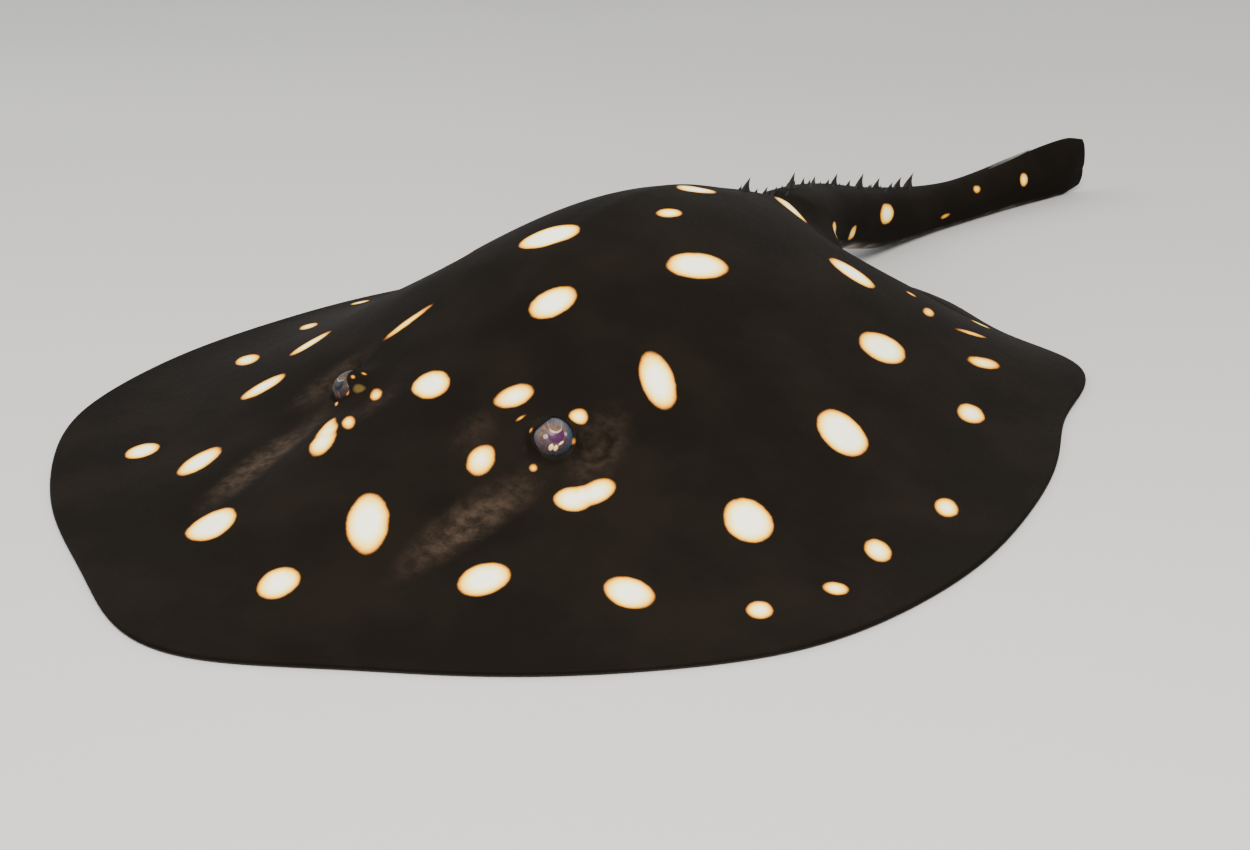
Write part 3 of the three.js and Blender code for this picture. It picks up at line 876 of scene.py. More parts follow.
def skin_material(look, surface):
    material, nodes, shader = new_material("ray_skin")
    place = object_place(nodes)
    underside = nodes.add("ShaderNodeAttribute", attribute_name="underside").outputs["Fac"]
    margin = nodes.add("ShaderNodeAttribute", attribute_name="margin_share").outputs["Fac"]

    # the back: near black with warmer clouds, and a painted brown sheen about the head
    cloud = nodes.noise(place, "cloud")
    grain = nodes.noise(place, "grain")
    back = nodes.mix(nodes.between(cloud, *CLOUDS), look.dark, look.dark_warm)
    # painted sheen: brown, mottled patches of glare about the head and eyes
    painted_sheen = 0.0
    for side in SIDES.values():
        for (x, y, z), sizes, turn, strength in PAINTED_SHEEN_PATCHES:
            here = patch(nodes, place, (side * x, y, z), sizes, side * turn)
            painted_sheen = nodes.math("MAXIMUM", nodes.math("MULTIPLY", here, strength), painted_sheen)
    mottle = nodes.between(nodes.noise(place, "mottle"), *MOTTLING)
    back = nodes.mix(nodes.math("MULTIPLY", painted_sheen, mottle), back, look.groove)

    for word in SIDES:
        for offset, sizes in SLATE_SKIN:
            slate = patch(nodes, place, beside_eye(word, offset), sizes)
            back = nodes.mix(nodes.math("MULTIPLY", slate, mottle), back, look.slate)

    # the spots: cream, deepening to orange in a narrow soft edge
    group = spot_group()
    fray = nodes.math("MULTIPLY", nodes.wobble(place, "fray"), SPOT_FRAY)
    uneven = nodes.math("MULTIPLY_ADD", nodes.wobble(place, "wander"), SPOT_WANDER, fray)
    spots = spots_on_back(BACK_SPOTS, surface, SPOT_DEPTH)
    spots += spots_on_back(EYE_SPOTS, surface) + spots_on_flanks()
    bright = spots_distance(nodes, place, group, spots)
    bright = nodes.math("ADD", bright, uneven)
    inwards = nodes.add("ShaderNodeMapRange")
    for socket, given in zip(inwards.inputs, (bright, SPOT_SOFT, -SPOT_INWARDS, 0.0, 1.0)):
        nodes.put(socket, given)
    stops = [(place, getattr(look, name)) for name, place in SPOT_STOPS.items()]
    spot_colour = nodes.ramp(inwards.outputs[0], stops)
    back = nodes.mix(nodes.between(bright, SPOT_SOFT, -SPOT_SOFT), back, spot_colour)
    dull = spots_distance(nodes, place, group, spots_on_back(DULL_SPOTS, surface, DULL_DEPTH))
    dull = nodes.math("ADD", dull, uneven)
    back = nodes.mix(nodes.between(dull, SPOT_SOFT, -DULL_SOFT), back, look.dull_spot)

    # the underside: pale in the middle, dark and mottled towards the margin
    edge = nodes.math("MULTIPLY_ADD", nodes.wobble(place, "blotch"), BELLY_RAGGED, margin)
    belly = nodes.mix(nodes.between(edge, *BELLY_MARGIN), look.belly, look.belly_edge)
    nodes.put(shader.inputs["Base Color"], nodes.mix(underside, back, belly))

    swing = (look.roughness + change for change in SKIN_SWING)
    nodes.put(shader.inputs["Roughness"], nodes.between(grain, *MOST_OF_NOISE, *swing))
    shader.inputs["Specular IOR Level"].default_value = SKIN_SPECULAR

    given = {"Vector": place, "Scale": PORES_SCALE}
    pores = nodes.add("ShaderNodeTexVoronoi", given).outputs["Distance"]
    bumped(nodes, shader, folds=nodes.noise(place, "folds"), pores=pores, grain=grain)
    return material


def eye_material(look, word):
    """Iris, pupil and rim of one eye, laid about the axis that the eye looks along."""
    material, nodes, shader = new_material(f"eyeball_{word}_look")
    across, up, _ = directions_about(word, GAZE[word])
    given = {0: object_place(nodes), 1: tuple(to_scene(EYES[word]))}
    local = nodes.add("ShaderNodeVectorMath", given, operation="SUBTRACT").outputs[0]

    def along(direction):
        given = {0: local, 1: tuple(direction)}
        dot = nodes.add("ShaderNodeVectorMath", given, operation="DOT_PRODUCT").outputs["Value"]
        return nodes.math("DIVIDE", dot, EYE_RADIUS * MM)

    # u runs to the outer corner and v upwards, in shares of the eyeball's radius
    u, v = along(across), along(up)
    face = nodes.add("ShaderNodeCombineXYZ", {"X": u, "Y": v}).outputs[0]
    fleck = nodes.noise(face, "fleck")
    shift = nodes.math("MULTIPLY", nodes.wobble(face, "eye_edges"), 0.35)

    def oval(middle, half, turn=0.0, soft=0.18):
        mapping = nodes.add(
            "ShaderNodeMapping",
            {"Vector": face, "Location": (*middle, 0), "Rotation": (0, 0, math.radians(turn)),
             "Scale": (*half, 1)},
            vector_type="TEXTURE",
        )
        length = nodes.add("ShaderNodeVectorMath", {0: mapping.outputs[0]}, operation="LENGTH")
        uneven = nodes.math("ADD", length.outputs["Value"], shift)
        return nodes.between(uneven, 1 + soft, 1 - soft)

    # the rim: lilac grey, steel blue towards the lower outer side and navy below, with painted
    # highlight streaks of the cornea
    outer_low = nodes.math("SUBTRACT", u, v)
    rim = nodes.mix(nodes.between(outer_low, 0.15, 0.75), look.rim, look.rim_blue)
    rim = nodes.mix(nodes.between(v, -0.58, -0.86), rim, look.rim_navy)
    # painted highlight: light streaks of the cornea, painted into the rim
    rim = nodes.mix(nodes.between(fleck, 0.45, 0.75, 0.0, 0.45), rim, look.rim_glint)
    # the iris: tan above and lilac below, with pale patches beside the pupil and gold ones below
    iris = nodes.mix(nodes.between(v, 0.25, -0.25), look.iris, look.iris_low)
    iris = nodes.mix(nodes.between(fleck, 0.40, 0.66, 0.0, 0.8), iris, look.iris_dark)
    colour = nodes.mix(oval((-0.02, -0.02), (0.72, 0.70), 0, 0.12), rim, iris)
    for middle, half, turn, tint in IRIS_PATCHES:
        # painted shade: the patches are dimmed on the eye out of the light
        here = nodes.math("MULTIPLY", oval(middle, half, turn), PAINTED_PATCH_LIGHT[word])
        colour = nodes.mix(here, colour, getattr(look, tint))

    # the pupil, with a flap of the iris that hangs into it from above
    aside = nodes.math("ABSOLUTE", nodes.math("SUBTRACT", u, PUPIL["middle"][0]))
    arc = nodes.math("MULTIPLY_ADD", nodes.math("POWER", aside, 2.0), 1.9, PUPIL["flap"])
    beside = nodes.math("MAXIMUM", nodes.math("SUBTRACT", aside, PUPIL["flap_half"]), 0.0)
    arc = nodes.math("MULTIPLY_ADD", beside, 6.0, arc)
    above = nodes.math("SUBTRACT", v, arc)
    inside = oval(PUPIL["middle"], PUPIL["half"], 0, 0.05)
    pupil = nodes.math("MULTIPLY", inside, nodes.between(above, 0.02, -0.02))
    near_arc = nodes.between(nodes.math("ABSOLUTE", nodes.math("SUBTRACT", above, 0.02)), 0.06, 0.02)
    hem = nodes.math("MULTIPLY", near_arc, nodes.between(aside, 0.36, 0.30))
    # the left pupil's purple is a painted reflection of the light that the eye sends back
    colour = nodes.mix(pupil, colour, getattr(look, f"pupil_{word}"))
    colour = nodes.mix(hem, colour, look.hem)
    # painted shade: the whole eye's colour is scaled down on the right eye
    shaded = nodes.add("ShaderNodeVectorMath", {0: colour, "Scale": PAINTED_EYE_LIGHT[word]}, operation="SCALE")
    nodes.put(shader.inputs["Base Color"], shaded.outputs[0])
    nodes.put(shader.inputs["Roughness"], nodes.between(fleck, *MOST_OF_NOISE, *EYE_SWING))
    shader.inputs["Specular IOR Level"].default_value = EYE_SPECULAR
    shader.inputs["Coat Weight"].default_value = EYE_COAT
    shader.inputs["Coat Roughness"].default_value = EYE_COAT_ROUGHNESS
    bumped(nodes, shader, fleck=fleck)
    return material


def horn_material(name, root, tip, foot, top):
    """Horn that pales from its root to its tips, between two heights."""
    material, nodes, shader = new_material(name)
    place = object_place(nodes)
    fibre = nodes.noise(place, "fibre")
    share = nodes.add("ShaderNodeAttribute", attribute_name="tip_share").outputs["Fac"]
    share = nodes.math("MULTIPLY_ADD", nodes.math("SUBTRACT", fibre, 0.5), 0.5, share)
    colour = nodes.mix(nodes.between(share, foot, top), root, tip)
    nodes.put(shader.inputs["Base Color"], colour)
    nodes.put(shader.inputs["Roughness"], nodes.between(fibre, *MOST_OF_NOISE, *HORN_SWING))
    shader.inputs["Specular IOR Level"].default_value = HORN_SPECULAR
    bumped(nodes, shader, fibre=fibre)
    return material


FLOOR_ROUGHNESS = 0.85
FLOOR_TONES = (0.97, 1.03)


def floor_material(colour):
    material, nodes, shader = new_material("studio_floor")
    place = object_place(nodes)
    tone = nodes.between(nodes.noise(place, "floor tone"), *MOST_OF_NOISE, *FLOOR_TONES)
    tinted = nodes.add("ShaderNodeVectorMath", {0: colour[:3]}, operation="SCALE")
    nodes.put(tinted.inputs["Scale"], tone)
    nodes.put(shader.inputs["Base Color"], tinted.outputs[0])
    shader.inputs["Roughness"].default_value = FLOOR_ROUGHNESS
    shader.inputs["Specular IOR Level"].default_value = FLOOR_SPECULAR
    return material


# ---- settings


def setting(kind, name, description, default, **limits):
    return kind(name=name, description=description, default=default, **limits)


def count_setting(*told, **limits):
    return setting(bpy.props.IntProperty, *told, **limits)


def number_setting(*told, **limits):
    return setting(bpy.props.FloatProperty, *told, **limits)


def length_setting(*told):
    return number_setting(*told, min=0.0, unit="LENGTH", subtype="DISTANCE")


def angle_setting(*told):
    return number_setting(*told, subtype="ANGLE", unit="ROTATION")


def colour_setting(name, description, default):
    limits = {"size": 4, "min": 0.0, "max": 1.0, "subtype": "COLOR"}
    return setting(bpy.props.FloatVectorProperty, name, description, (*default, 1.0), **limits)


class RaySkinSettings(bpy.types.PropertyGroup):
    """Fineness and colours of the skin."""

    sectors: count_setting("Sectors", "Faces round the disc", 288, min=64, max=400)
    rings: count_setting("Rings", "Faces from the margin to the middle of the back", 96, min=32)
    fillet: length_setting("Fillet", "Breadth of the blend between tail and disc", 0.012)
    roughness: number_setting("Roughness", "Roughness of the skin", 0.58, min=0.1, max=1.0)
    dark: colour_setting("Skin", "Ground colour of the back", (0.0056, 0.0044, 0.0032))
    dark_warm: colour_setting("Warm skin", "Warmer clouds of the back", (0.0082, 0.0062, 0.0044))
    # painted sheen: the brown glare about the head, painted into the skin's colour
    groove: colour_setting("Groove", "Browner skin of the head", (0.040, 0.027, 0.018))
    slate: colour_setting("Slate", "Bluish skin of the lids", (0.048, 0.056, 0.070))
    spot: colour_setting("Spot", "Middle of the spots", (1.0, 0.95, 0.74))
    spot_pale: colour_setting("Spot shoulder", "Nearest to the middle", (1.0, 0.86, 0.36))
    spot_mid: colour_setting("Spot yellow", "Between ring and shoulder", (1.0, 0.66, 0.06))
    spot_ring: colour_setting("Spot ring", "Spots inside their edge", (0.74, 0.29, 0.02))
    spot_edge: colour_setting("Spot edge", "Narrow edge of the spots", (0.16, 0.05, 0.008))
    dull_spot: colour_setting("Dull spot", "Olive spots", (0.075, 0.050, 0.014))
    belly: colour_setting("Belly", "Middle of the underside", (0.60, 0.52, 0.45))
    belly_edge: colour_setting("Belly edge", "Margin of the underside", (0.045, 0.036, 0.030))


class RayEyeSettings(bpy.types.PropertyGroup):
    """Colours of the eyes."""

    iris: colour_setting("Iris", "Upper part of the iris", (0.105, 0.064, 0.036))
    iris_low: colour_setting("Low iris", "Lower part of the iris", (0.066, 0.042, 0.050))
    iris_dark: colour_setting("Iris flecks", "Dark flecks of the iris", (0.030, 0.019, 0.017))
    gold: colour_setting("Gold", "Bright patches below the pupil", (0.86, 0.62, 0.34))
    pale: colour_setting("Pale", "Pale patches beside the pupil", (0.25, 0.22, 0.23))
    rim: colour_setting("Rim", "Lilac grey of the rim", (0.032, 0.032, 0.044))
    rim_blue: colour_setting("Blue rim", "Steel blue of the rim", (0.017, 0.036, 0.060))
    rim_navy: colour_setting("Navy rim", "Lower edge of the rim", (0.008, 0.014, 0.032))
    # painted highlight of the cornea
    rim_glint: colour_setting("Rim streaks", "Light streaks of the rim", (0.095, 0.098, 0.12))
    hem: colour_setting("Flap hem", "Pale hem of the pupil's flap", (0.34, 0.25, 0.19))
    # painted reflection: the purple that the left pupil shines with
    pupil_left: colour_setting("Left pupil", "Pupil that shines purple", (0.045, 0.008, 0.038))
    pupil_right: colour_setting("Right pupil", "Pupil in the shade", (0.004, 0.006, 0.011))


class RayHornSettings(bpy.types.PropertyGroup):
    """Sizes and colours of the thorns and the sting."""

    small_thorns: count_setting("Small thorns", "Small thorns beside the row", 30, min=0, max=80)
    thorn_root: colour_setting("Thorn root", "Colour at the foot of a thorn", (0.008, 0.0065, 0.0055))
    thorn_tip: colour_setting("Thorn tip", "Colour at the tip of a thorn", (0.030, 0.025, 0.021))
    sting_root: colour_setting("Sting root", "Colour of the covered end", (0.030, 0.028, 0.027))
    sting_tip: colour_setting("Sting tip", "Colour of the bare end", (0.120, 0.110, 0.100))
    barbs: count_setting("Barbs", "Barbs on each edge of the sting", 22, min=0, max=60)


class RayStageSettings(bpy.types.PropertyGroup):
    """Camera, floor and light."""

    azimuth: angle_setting("Azimuth", "Turn of the camera from ahead of the snout", math.radians(34.0))
    elevation: angle_setting("Elevation", "Height angle of the camera", math.radians(22.0))
    distance: length_setting("Distance", "From the camera to the point that it looks at", 0.725)
    lens: number_setting("Lens", "Focal length in mm on a 36 mm sensor", 50.0, min=10)
    floor: colour_setting("Floor", "Pale studio floor", (0.43, 0.42, 0.40))
    light: number_setting("Light", "Power of the main light", 42.0, min=0, unit="POWER")


# ---- building the pieces


# Which sheet a point of the skin belongs to: 1 back, -1 belly, 0 margin and TAIL for the tail.
SHEET = "sheet"
TAIL = 3
RIM_RINGS = 4  # rings of faces that round the margin
RING_CROWDING = 1.12  # above 1 the rings crowd towards the margin
HEAD_ABOVE = 12.0  # points higher than this are on the back at the eyes
# Rounds of finer faces: reach about an eye, how far in front of it that lies, reach about the
# mouth, and whether the gills and the vent are in the round too.
FINER = ((31, 0, 34, True), (16, 0, 27, False), (11.5, 2, 0, False))
MOUTH_Y, MOUTH_FLATTENED = -155, 0.8
GILL_ROWS = {"x": 50, "y": -77, "slope": -0.27, "half_length": 42, "half_breadth": 13}
VENT_Y, VENT_REACH = 158, 14
# Where the finer faces are laid onto the surface again: reach about an eye, half breadth and
# length of the head's underside, and reach about the vent.
RELAID = {"eye": 40, "x": 78, "y": (-195, -28), "vent": 20}
EYE_FIELD = 34.0  # reach that shape_eyes works on
FIELD_MIDDLE, FIELD_EDGE = (3, 3, 0), 3  # from the eye, and the edge that stays where it is
LEAST_SLOPE = 0.2
LID_TURNS, LID_SMOOTHING_TURNS = 36, 30  # of drawing the skin onto the field, and of evening it
LID_STEP, LID_SMOOTHING = 1.2, 0.5  # longest move in a turn, and share of the evening
# Joining the tail, in metres: what lies so near an old point is old, what lies so near the seam is
# merged, and how close points are merged.
OLD_POINT, SEAM_REACH, SEAM_MERGE = 2e-6, 0.0025, 0.0008
FILLET_TURNS, FILLET_SMOOTHING = 60, 0.6
# The tail: how much its rings crowd towards the root, its rounded ends, the keel along its top
# and the crease along each flank.
TAIL_MESH = {"segments": 56, "rings": 210, "crowding": 1.15, "root_round": 6, "end_round": 3}
KEEL = {"height": 0.9, "spread": 2.6}
CREASE = {"depth": 0.9, "level": -0.32, "spread": 0.13, "from": 210, "full": 260}


def build_disc(look):
    """The disc from a sphere: its equator becomes the margin, its halves the back and belly."""
    rings = look.rings
    disc = new_sphere("ray_skin", look.sectors, 2 * rings)
    start = points_of(disc)
    bearing = np.degrees(np.arctan2(start[:, 0], -start[:, 1])) % 360
    turn = np.degrees(np.arcsin(np.clip(start[:, 2], -1, 1)))
    step = np.abs(turn) / 90 * rings  # rings in from the margin
    rim_share = RIM / 2 / reach_at(bearing)
    inward = np.clip((step - RIM_RINGS) / (rings - RIM_RINGS), 0, 1)
    share = (1 - rim_share) * (1 - inward**RING_CROWDING)
    rim_angle = np.clip(step / RIM_RINGS, 0, 1) * math.pi / 2
    x, y, back, belly = levels_at(bearing, share)
    outward = rim_share * reach_at(bearing) * np.cos(rim_angle)
    x += outward * np.sin(np.radians(bearing))
    y -= outward * np.cos(np.radians(bearing))
    half = (back - belly) / 2 * np.sin(rim_angle) * np.sign(np.where(turn == 0, 1, turn))
    z = (back + belly) / 2 + half
    move_points(disc, to_scene(np.stack([x, y, z], axis=1)))
    store(disc, SHEET, np.sign(turn) * (step > RIM_RINGS))
    return disc


def near_eyes(points, radius, forwards=0.0):
    """Which points lie within a radius in plan of a place just in front of either eye."""
    near = np.zeros(len(points), bool)
    for word, eye in EYES.items():
        axis = socket_directions(word)[2]
        middle = eye[:2] + forwards * axis[:2]
        near |= np.hypot(points[:, 0] - middle[0], points[:, 1] - middle[1]) < radius
    return near


def refine_disc(disc):
    """Finer faces about the eyes, spiracles, mouth and gills, set on the disc's own surface."""
    for near_eye, forwards, near_mouth, all_below in FINER:
        middles = to_body(face_middles(disc))
        x, y, z = middles.T
        below = np.hypot(x * MOUTH_FLATTENED, y - MOUTH_Y) < near_mouth
        if all_below:
            down = y - GILL_ROWS["y"]
            out = np.abs(x) - GILL_ROWS["x"] - down * GILL_ROWS["slope"]
            in_length = np.abs(down) < GILL_ROWS["half_length"]
            below |= in_length & (np.abs(out) < GILL_ROWS["half_breadth"])
            below |= np.hypot(x, y - VENT_Y) < VENT_REACH
        chosen = np.where(z > HEAD_ABOVE, near_eyes(middles, near_eye, forwards), below)
        choose_parts(disc, "polygons", chosen)
        with edit_mode():
            bpy.ops.mesh.subdivide(number_cuts=1, smoothness=0)
        points = to_body(points_of(disc))
        x, y, _ = points.T
        sheet = stored(disc, SHEET)
        on_back = near_eyes(points, RELAID["eye"]) & (sheet > 0.9)
        points[on_back, 2] = back_height(x[on_back], y[on_back])
        first, last = RELAID["y"]
        close = (y > first) & (y < last) & (np.abs(x) < RELAID["x"])
        on_belly = (close | (np.hypot(x, y - VENT_Y) < RELAID["vent"])) & (sheet < -0.9)
        points[on_belly, 2] = belly_height(x[on_belly], y[on_belly])
        move_points(disc, to_scene(points))


def shape_eyes(disc):
    """Draw the skin over brow and eyeball, open the lids and sink the spiracles."""
    points = to_body(points_of(disc))
    edges = edges_of(disc)
    for word, eye in EYES.items():
        reach = np.hypot(*(points - beside_eye(word, FIELD_MIDDLE)).T[:2])
        index = np.flatnonzero((points[:, 2] > HEAD_ABOVE) & (reach < EYE_FIELD))
        inner = np.isin(edges, index).all(axis=1)
        number = np.full(len(points), -1)
        number[index] = np.arange(len(index))
        links = number[edges[inner]]
        part = points[index]
        free = (reach[index] < EYE_FIELD - FIELD_EDGE)[:, None]
        for centre, radius in ((beside_eye(word, BROW["middle"]), BROW["radius"]), (eye, HOOD_RADIUS)):
            square = radius**2 - ((part[:, :2] - centre[:2]) ** 2).sum(axis=1)
            over = square > 0
            part[over, 2] = np.maximum(part[over, 2], centre[2] + np.sqrt(square[over]))
        for turn in range(LID_TURNS):
            field, slope = field_slope(part, word)
            move = slope * (field / np.maximum((slope**2).sum(axis=1), LEAST_SLOPE))[:, None]
            size = np.linalg.norm(move, axis=1, keepdims=True)
            part = part - move * np.minimum(1, LID_STEP / np.maximum(size, 1e-9)) * free
            if turn < LID_SMOOTHING_TURNS:
                pull = neighbours_mean(part, links) - part
                normal = slope / np.maximum(np.linalg.norm(slope, axis=1, keepdims=True), 1e-9)
                pull -= normal * (pull * normal).sum(axis=1, keepdims=True)
                part = part + LID_SMOOTHING * pull * free
        points[index] = part
    move_points(disc, to_scene(points))


def build_tail():
    """The tail from a sphere: its latitude runs along the tail and its longitude round it."""
    tail, along, turn = long_sphere("tail_flesh", TAIL_MESH["segments"], TAIL_MESH["rings"])
    first, last = TAIL_SECTIONS[0][0], TAIL_SECTIONS[-1][0]
    root_round, end_round = TAIL_MESH["root_round"], TAIL_MESH["end_round"]
    y = first + (last - first) * (1 - (1 - along) ** TAIL_MESH["crowding"])
    cap = np.sqrt(np.clip(1 - np.clip((y - last + end_round) / end_round, 0, 1) ** 2, 0, 1))
    cap *= np.sqrt(np.clip(1 - np.clip((first + root_round - y) / root_round, 0, 1) ** 2, 0, 1))
    cos, sin = np.cos(turn), np.sin(turn)
    across = tail_size(1, y) * np.sign(cos) * np.abs(cos) ** tail_size(4, y) * cap
    height = tail_size(3, y)
    up = tail_size(2, y) + height / 2 + height / 2 * sin * cap
    up += KEEL["height"] * np.exp(-0.5 * (across / KEEL["spread"]) ** 2) * (sin > 0) * cap
    flank = np.exp(-0.5 * ((sin - CREASE["level"]) / CREASE["spread"]) ** 2)
    flank = flank * cap * smoothstep(CREASE["from"], CREASE["full"], y)
    across -= CREASE["depth"] * np.sign(cos) * flank
    move_points(tail, to_scene(beside_tail(y, across, np.maximum(0, up))))
    store(tail, SHEET, np.full(len(y), TAIL))
    face_outwards(tail)
    return tail


def join_tail(disc, tail, fillet):
    """Join tail and disc into one skin and blend the line where they meet."""
    choose(disc)
    union = disc.modifiers.new("join_tail", "BOOLEAN")
    union.operation = "UNION"
    union.solver = "MANIFOLD"
    union.object = tail
    old = np.vstack([points_of(disc), points_of(tail)])
    bpy.ops.object.modifier_apply(modifier=union.name)
    bpy.data.objects.remove(tail)
    # the seam is where the union made new points
    points = points_of(disc)
    seam = points[nearest(points, old) > OLD_POINT]
    choose_parts(disc, "vertices", nearest(points, seam) < SEAM_REACH)
    with edit_mode():
        bpy.ops.mesh.remove_doubles(threshold=SEAM_MERGE)
        bpy.ops.mesh.select_all(action="SELECT")
        bpy.ops.mesh.quads_convert_to_tris(quad_method="BEAUTY", ngon_method="BEAUTY")
    points = points_of(disc)
    weight = (1 - smoothstep(fillet * 0.25, fillet, nearest(points, seam)))[:, None]
    edges = edges_of(disc)
    for _ in range(FILLET_TURNS):
        pull = neighbours_mean(points, edges) - points
        points += FILLET_SMOOTHING * weight * pull
    points[:, 2] = np.maximum(points[:, 2], 0)
    move_points(disc, points)


def add_masks(disc):
    """Mark the underside and the way out to the margin, for the colours."""
    points = to_body(points_of(disc))
    facing = read(disc.data.vertices, "normal", 3)[:, 2]
    _, share = bearing_and_share(points[:, 0], points[:, 1])
    sheet = stored(disc, SHEET)
    on_tail = sheet > 1.5
    below = np.where(np.abs(sheet) < 0.5, smoothstep(-0.1, -0.7, facing), sheet < 0)
    store(disc, "underside", np.where(on_tail, smoothstep(-0.55, -0.9, facing), below))
    store(disc, "margin_share", np.where(on_tail, 0.82, share))
    disc.data.attributes.remove(disc.data.attributes[SHEET])


def build_skin(look):
    disc = build_disc(look)
    refine_disc(disc)
    shape_eyes(disc)
    join_tail(disc, build_tail(), look.fillet)
    add_masks(disc)
    shade_smooth(disc)
    disc.data.materials.clear()
    disc.data.materials.append(skin_material(look, skin_surface(disc)))
    return disc


EYE_MESH = (72, 48)
CORNEA = {"height": 0.45, "full": 18, "ends": 48}  # mm, and degrees from the eye's axis


def build_eye(word, look):
    """An eyeball with a low cornea, its pole turned to where the eye looks."""
    ball = new_sphere(f"eyeball_{word}", *EYE_MESH)
    points = points_of(ball)
    off_axis = np.degrees(np.arccos(np.clip(points[:, 2], -1, 1)))
    cornea = CORNEA["height"] * (1 - smoothstep(CORNEA["full"], CORNEA["ends"], off_axis))
    points *= (EYE_RADIUS + cornea)[:, None]
    axis = Vector(directions_about(word, GAZE[word])[2])
    turn = np.array(Vector((0, 0, 1)).rotation_difference(axis).to_matrix())
    move_points(ball, to_scene(points @ turn.T + EYES[word]))
    shade_smooth(ball)
    ball.data.materials.append(eye_material(look, word))
    return ball


def thorn_points(shape, height):
    """Shape a unit cone into a thorn like a shark's fin, swept backwards over a broad foot."""
    t = np.clip(shape[:, 2], 0, 1)
    foot = THORN["foot"] + THORN["spread"] * height
    plan = shape[:, :2] / np.maximum(1 - t, 1e-3)[:, None]
    plan[t > 0.999] = 0
    start, end, tip = THORN["middle"] - 1, THORN["middle"] + 1, THORN["tip"]
    front = start + (tip - start) * t**THORN_FRONT
    rear = end - THORN_HOLLOW * np.sin(math.pi * t) + (tip - end) * t
    half = (rear - front) / 2
    breadth = plan[:, 0] * half * THORN["breadth"] * foot
    length = ((front + rear) / 2 + plan[:, 1] * half) * foot
    rise = (height + THORN["sink"]) * t - THORN["sink"]
    return np.stack([breadth, length, rise], axis=1), t


def thorn_places(small):
    """Place in plan and height of every thorn: the row, and small ones on both sides of it."""
    places = []
    for i, (y, height) in enumerate(THORNS):
        places.append((THORN_SWAY * math.sin(THORN_WAVE * i), y, height))
    first, last = THORNS[0][0], THORNS[-1][0]
    place_wave, aside_wave, height_wave = SMALL_WAVES
    for i in range(small):
        y = first + (last - first) * (i + SMALL_THORN["stray"] * math.sin(place_wave * i)) / small
        aside = SMALL_THORN["aside"] + SMALL_THORN["sway"] * math.sin(aside_wave * i)
        height = SMALL_THORN["height"] + SMALL_THORN["gain"] * math.sin(height_wave * i + 1) ** 2
        places.append((aside * (1 if i % 2 else -1), y, height))
    return places


def build_thorns(look):
    """The row of thorns along the ridge, with smaller ones beside it, joined into one piece."""
    surface = skin_surface(bpy.data.objects["ray_skin"])
    made = []
    for i, (aside, y, height) in enumerate(thorn_places(look.small_thorns)):
        deselect_all()
        bpy.ops.mesh.primitive_cone_add(vertices=14, radius2=0, depth=1, location=(0, 0, 0.5))
        thorn = new_piece(f"thorn_{i:02d}")
        with edit_mode():
            for cut in THORN_CUTS:
                bpy.ops.mesh.select_all(action="SELECT")
                bpy.ops.mesh.bisect(plane_co=(0, 0, cut), plane_no=(0, 0, 1))
        shape, share = thorn_points(points_of(thorn), height)
        x, along_x, along_y = (float(v[0]) for v in tail_place(np.array([y])))
        turned = np.stack(
            [shape[:, 0] * along_y + shape[:, 1] * along_x,
             shape[:, 1] * along_y - shape[:, 0] * along_x, shape[:, 2]], axis=1,
        )
        move_points(thorn, turned * MM + foot_on(surface, x + aside, y))
        store(thorn, "tip_share", share)
        made.append(thorn)
    choose(made[0])
    for thorn in made:
        thorn.select_set(True)
    bpy.ops.object.join()
    thorns = bpy.context.object
    thorns.name = "thorns"
    thorns.data.name = "thorns"
    bpy.ops.object.shade_smooth_by_angle(angle=math.radians(50))
    thorns.data.materials.append(
        horn_material("thorn_horn", look.thorn_root, look.thorn_tip, 0.55, 1.05)
    )
    return thorns


STING_MESH = (24, 110)
STING_POINT, STING_ROOT = 0.55, 0.03  # how slowly it comes to a point; share that rounds its root
BARB = {"breadth": 0.22, "from": 0.3, "full": 0.4}  # shares of the half breadth and the length
BARB_THIN = 6  # the higher, the nearer to the edge the barbs keep
BLADE_GROOVE = {"depth": 0.25, "middle": 0.45, "spread": 0.15}


def build_sting(look):
    """The sting: a flat tapering blade with barbed edges, lying along the top of the tail."""
    sting, along, turn = long_sphere("tail_sting", *STING_MESH)
    y = STING["start"] + STING["length"] * along
    taper = np.clip(1 - along, 0, 1) ** STING_POINT * np.clip(along / STING_ROOT, 0, 1) ** 0.5
    phase = (along * look.barbs) % 1.0
    barb = BARB["breadth"] * (1 - phase) * smoothstep(BARB["from"], BARB["full"], along)
    barb *= np.clip(1 - along, 0, 1)
    side = np.cos(turn)
    half = STING["half"] * taper * (1 + barb * np.abs(side) ** BARB_THIN)
    groove = np.exp(-0.5 * ((np.abs(side) - BLADE_GROOVE["middle"]) / BLADE_GROOVE["spread"]) ** 2)
    groove *= BLADE_GROOVE["depth"] * (np.sin(turn) > 0)
    thick = STING["thick"] / 2 * taper * (1 - groove)
    above = -STING["sunk"] + (STING["sunk"] + STING["raised"]) * along
    z = tail_top(y) + above + thick * np.sin(turn)
    move_points(sting, to_scene(beside_tail(y, half * side, z)))
    face_outwards(sting)
    store(sting, "tip_share", along)
    bpy.ops.object.shade_smooth_by_angle(angle=math.radians(45))
    sting.data.materials.append(horn_material("sting_horn", look.sting_root, look.sting_tip, 0.2, 0.9))
    return sting


LOOKED_AT = (20, 12, 0)  # in the animal's frame, like the point that is lit
LIT_POINT = (10, 40, 30)
FLOOR_SIDE, FLOOR_DROP = 12.0, 0.0002  # m; the floor lies a little lower than the ray
WORLD_COLOUR, WORLD_STRENGTH = (0.93, 0.95, 1.0, 1.0), 0.95
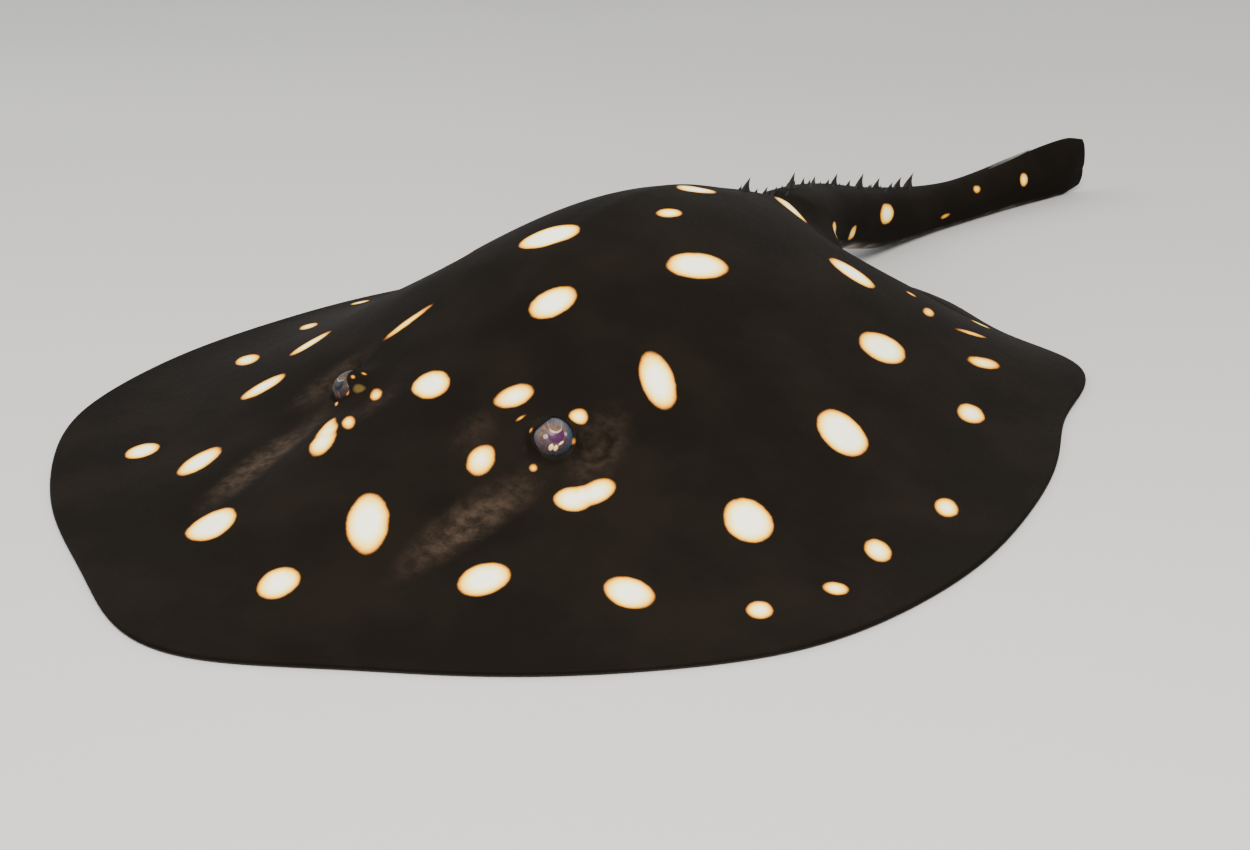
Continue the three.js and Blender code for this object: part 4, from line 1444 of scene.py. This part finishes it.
# Soft lights: place in the scene and size in metres, share of the main power, and colour.
LIGHTS = {
    "key": ((0.55, -0.75, 1.15), 0.7, 1.0, (1.0, 0.97, 0.93)),
    "fill": ((-1.2, -0.5, 0.9), 1.4, 0.35, (0.93, 0.96, 1.0)),
    "back": ((-0.2, 1.5, 1.2), 1.2, 0.2, (1.0, 0.98, 0.96)),
}


def add_light(name, place, target, size, power, colour):
    data = bpy.data.lights.new(name, "AREA")
    data.shape = "DISK"
    data.size = size
    data.energy = power
    data.color = colour
    light = bpy.data.objects.new(name, data)
    light.location = place
    light.rotation_euler = (Vector(target) - Vector(place)).to_track_quat("-Z", "Y").to_euler()
    bpy.context.scene.collection.objects.link(light)


def build_stage(look):
    """Camera, pale floor and soft light."""
    scene = bpy.context.scene
    target = Vector(to_scene(LOOKED_AT))
    back = Vector((
        math.sin(look.azimuth) * math.cos(look.elevation),
        -math.cos(look.azimuth) * math.cos(look.elevation),
        math.sin(look.elevation),
    ))
    data = bpy.data.cameras.new("camera")
    data.sensor_width = 36.0
    data.lens = look.lens
    data.clip_start = 0.01
    camera = bpy.data.objects.new("camera", data)
    camera.location = target + back * look.distance
    camera.rotation_euler = (-back).to_track_quat("-Z", "Y").to_euler()
    scene.collection.objects.link(camera)
    scene.camera = camera

    deselect_all()
    bpy.ops.mesh.primitive_plane_add(size=FLOOR_SIDE, location=(0, 0, -FLOOR_DROP))
    floor = new_piece("studio_floor")
    floor.data.materials.append(floor_material(look.floor))

    world = bpy.data.worlds.new("studio")
    world.use_nodes = True
    background = world.node_tree.nodes["Background"]
    background.inputs["Color"].default_value = WORLD_COLOUR
    background.inputs["Strength"].default_value = WORLD_STRENGTH
    scene.world = world
    for name, (place, size, share, colour) in LIGHTS.items():
        add_light(name, place, tuple(to_scene(LIT_POINT)), size, look.light * share, colour)


# ---- operators and panel


class RAY_OT_stage(bpy.types.Operator):
    """Set up the camera, floor and soft light"""

    bl_idname = "stingray.stage"
    bl_label = "Stage"

    def execute(self, context):
        build_stage(context.scene.ray_stage)
        return {"FINISHED"}


class RAY_OT_skin(bpy.types.Operator):
    """Model the one skin that covers disc, fins and tail"""

    bl_idname = "stingray.skin"
    bl_label = "Skin"

    def execute(self, context):
        skin = build_skin(context.scene.ray_skin)
        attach(skin, "root")
        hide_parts(*SKIN_NODES)
        return {"FINISHED"}


class RAY_OT_eyes(bpy.types.Operator):
    """Model both eyeballs"""

    bl_idname = "stingray.eyes"
    bl_label = "Eyes"

    def execute(self, context):
        for word in SIDES:
            ball = build_eye(word, context.scene.ray_eyes)
            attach(ball, "root")
            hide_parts(f"eye_{word}")
        return {"FINISHED"}


class RAY_OT_thorns(bpy.types.Operator):
    """Model the thorns along the ridge of the tail"""

    bl_idname = "stingray.thorns"
    bl_label = "Thorns"

    def execute(self, context):
        thorns = build_thorns(context.scene.ray_horn)
        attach(thorns, "root")
        return {"FINISHED"}


class RAY_OT_sting(bpy.types.Operator):
    """Model the sting on top of the tail"""

    bl_idname = "stingray.sting"
    bl_label = "Sting"

    def execute(self, context):
        sting = build_sting(context.scene.ray_horn)
        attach(sting, "root")
        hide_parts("sting")
        return {"FINISHED"}


OPERATORS = (RAY_OT_stage, RAY_OT_skin, RAY_OT_eyes, RAY_OT_thorns, RAY_OT_sting)


class RAY_PT_panel(bpy.types.Panel):
    """Pieces of the stingray, in the order in which they are made"""

    bl_idname = "RAY_PT_panel"
    bl_label = "Freshwater stingray"
    bl_space_type = "VIEW_3D"
    bl_region_type = "UI"
    bl_category = "Stingray"

    def draw(self, context):
        for operator in OPERATORS:
            self.layout.operator(operator.bl_idname)


SETTINGS = {
    "ray_skin": RaySkinSettings,
    "ray_eyes": RayEyeSettings,
    "ray_horn": RayHornSettings,
    "ray_stage": RayStageSettings,
}


def register():
    for name, group in SETTINGS.items():
        bpy.utils.register_class(group)
        setattr(bpy.types.Scene, name, bpy.props.PointerProperty(type=group))
    for item in (*OPERATORS, RAY_PT_panel):
        bpy.utils.register_class(item)


def unregister():
    for item in (RAY_PT_panel, *reversed(OPERATORS)):
        bpy.utils.unregister_class(item)
    for name, group in reversed(SETTINGS.items()):
        delattr(bpy.types.Scene, name)
        bpy.utils.unregister_class(group)


def main():
    register()
    bpy.ops.stingray.stage()
    bpy.ops.stingray.skin()
    bpy.ops.stingray.eyes()
    bpy.ops.stingray.thorns()
    bpy.ops.stingray.sting()


if __name__ == "__main__":
    main()
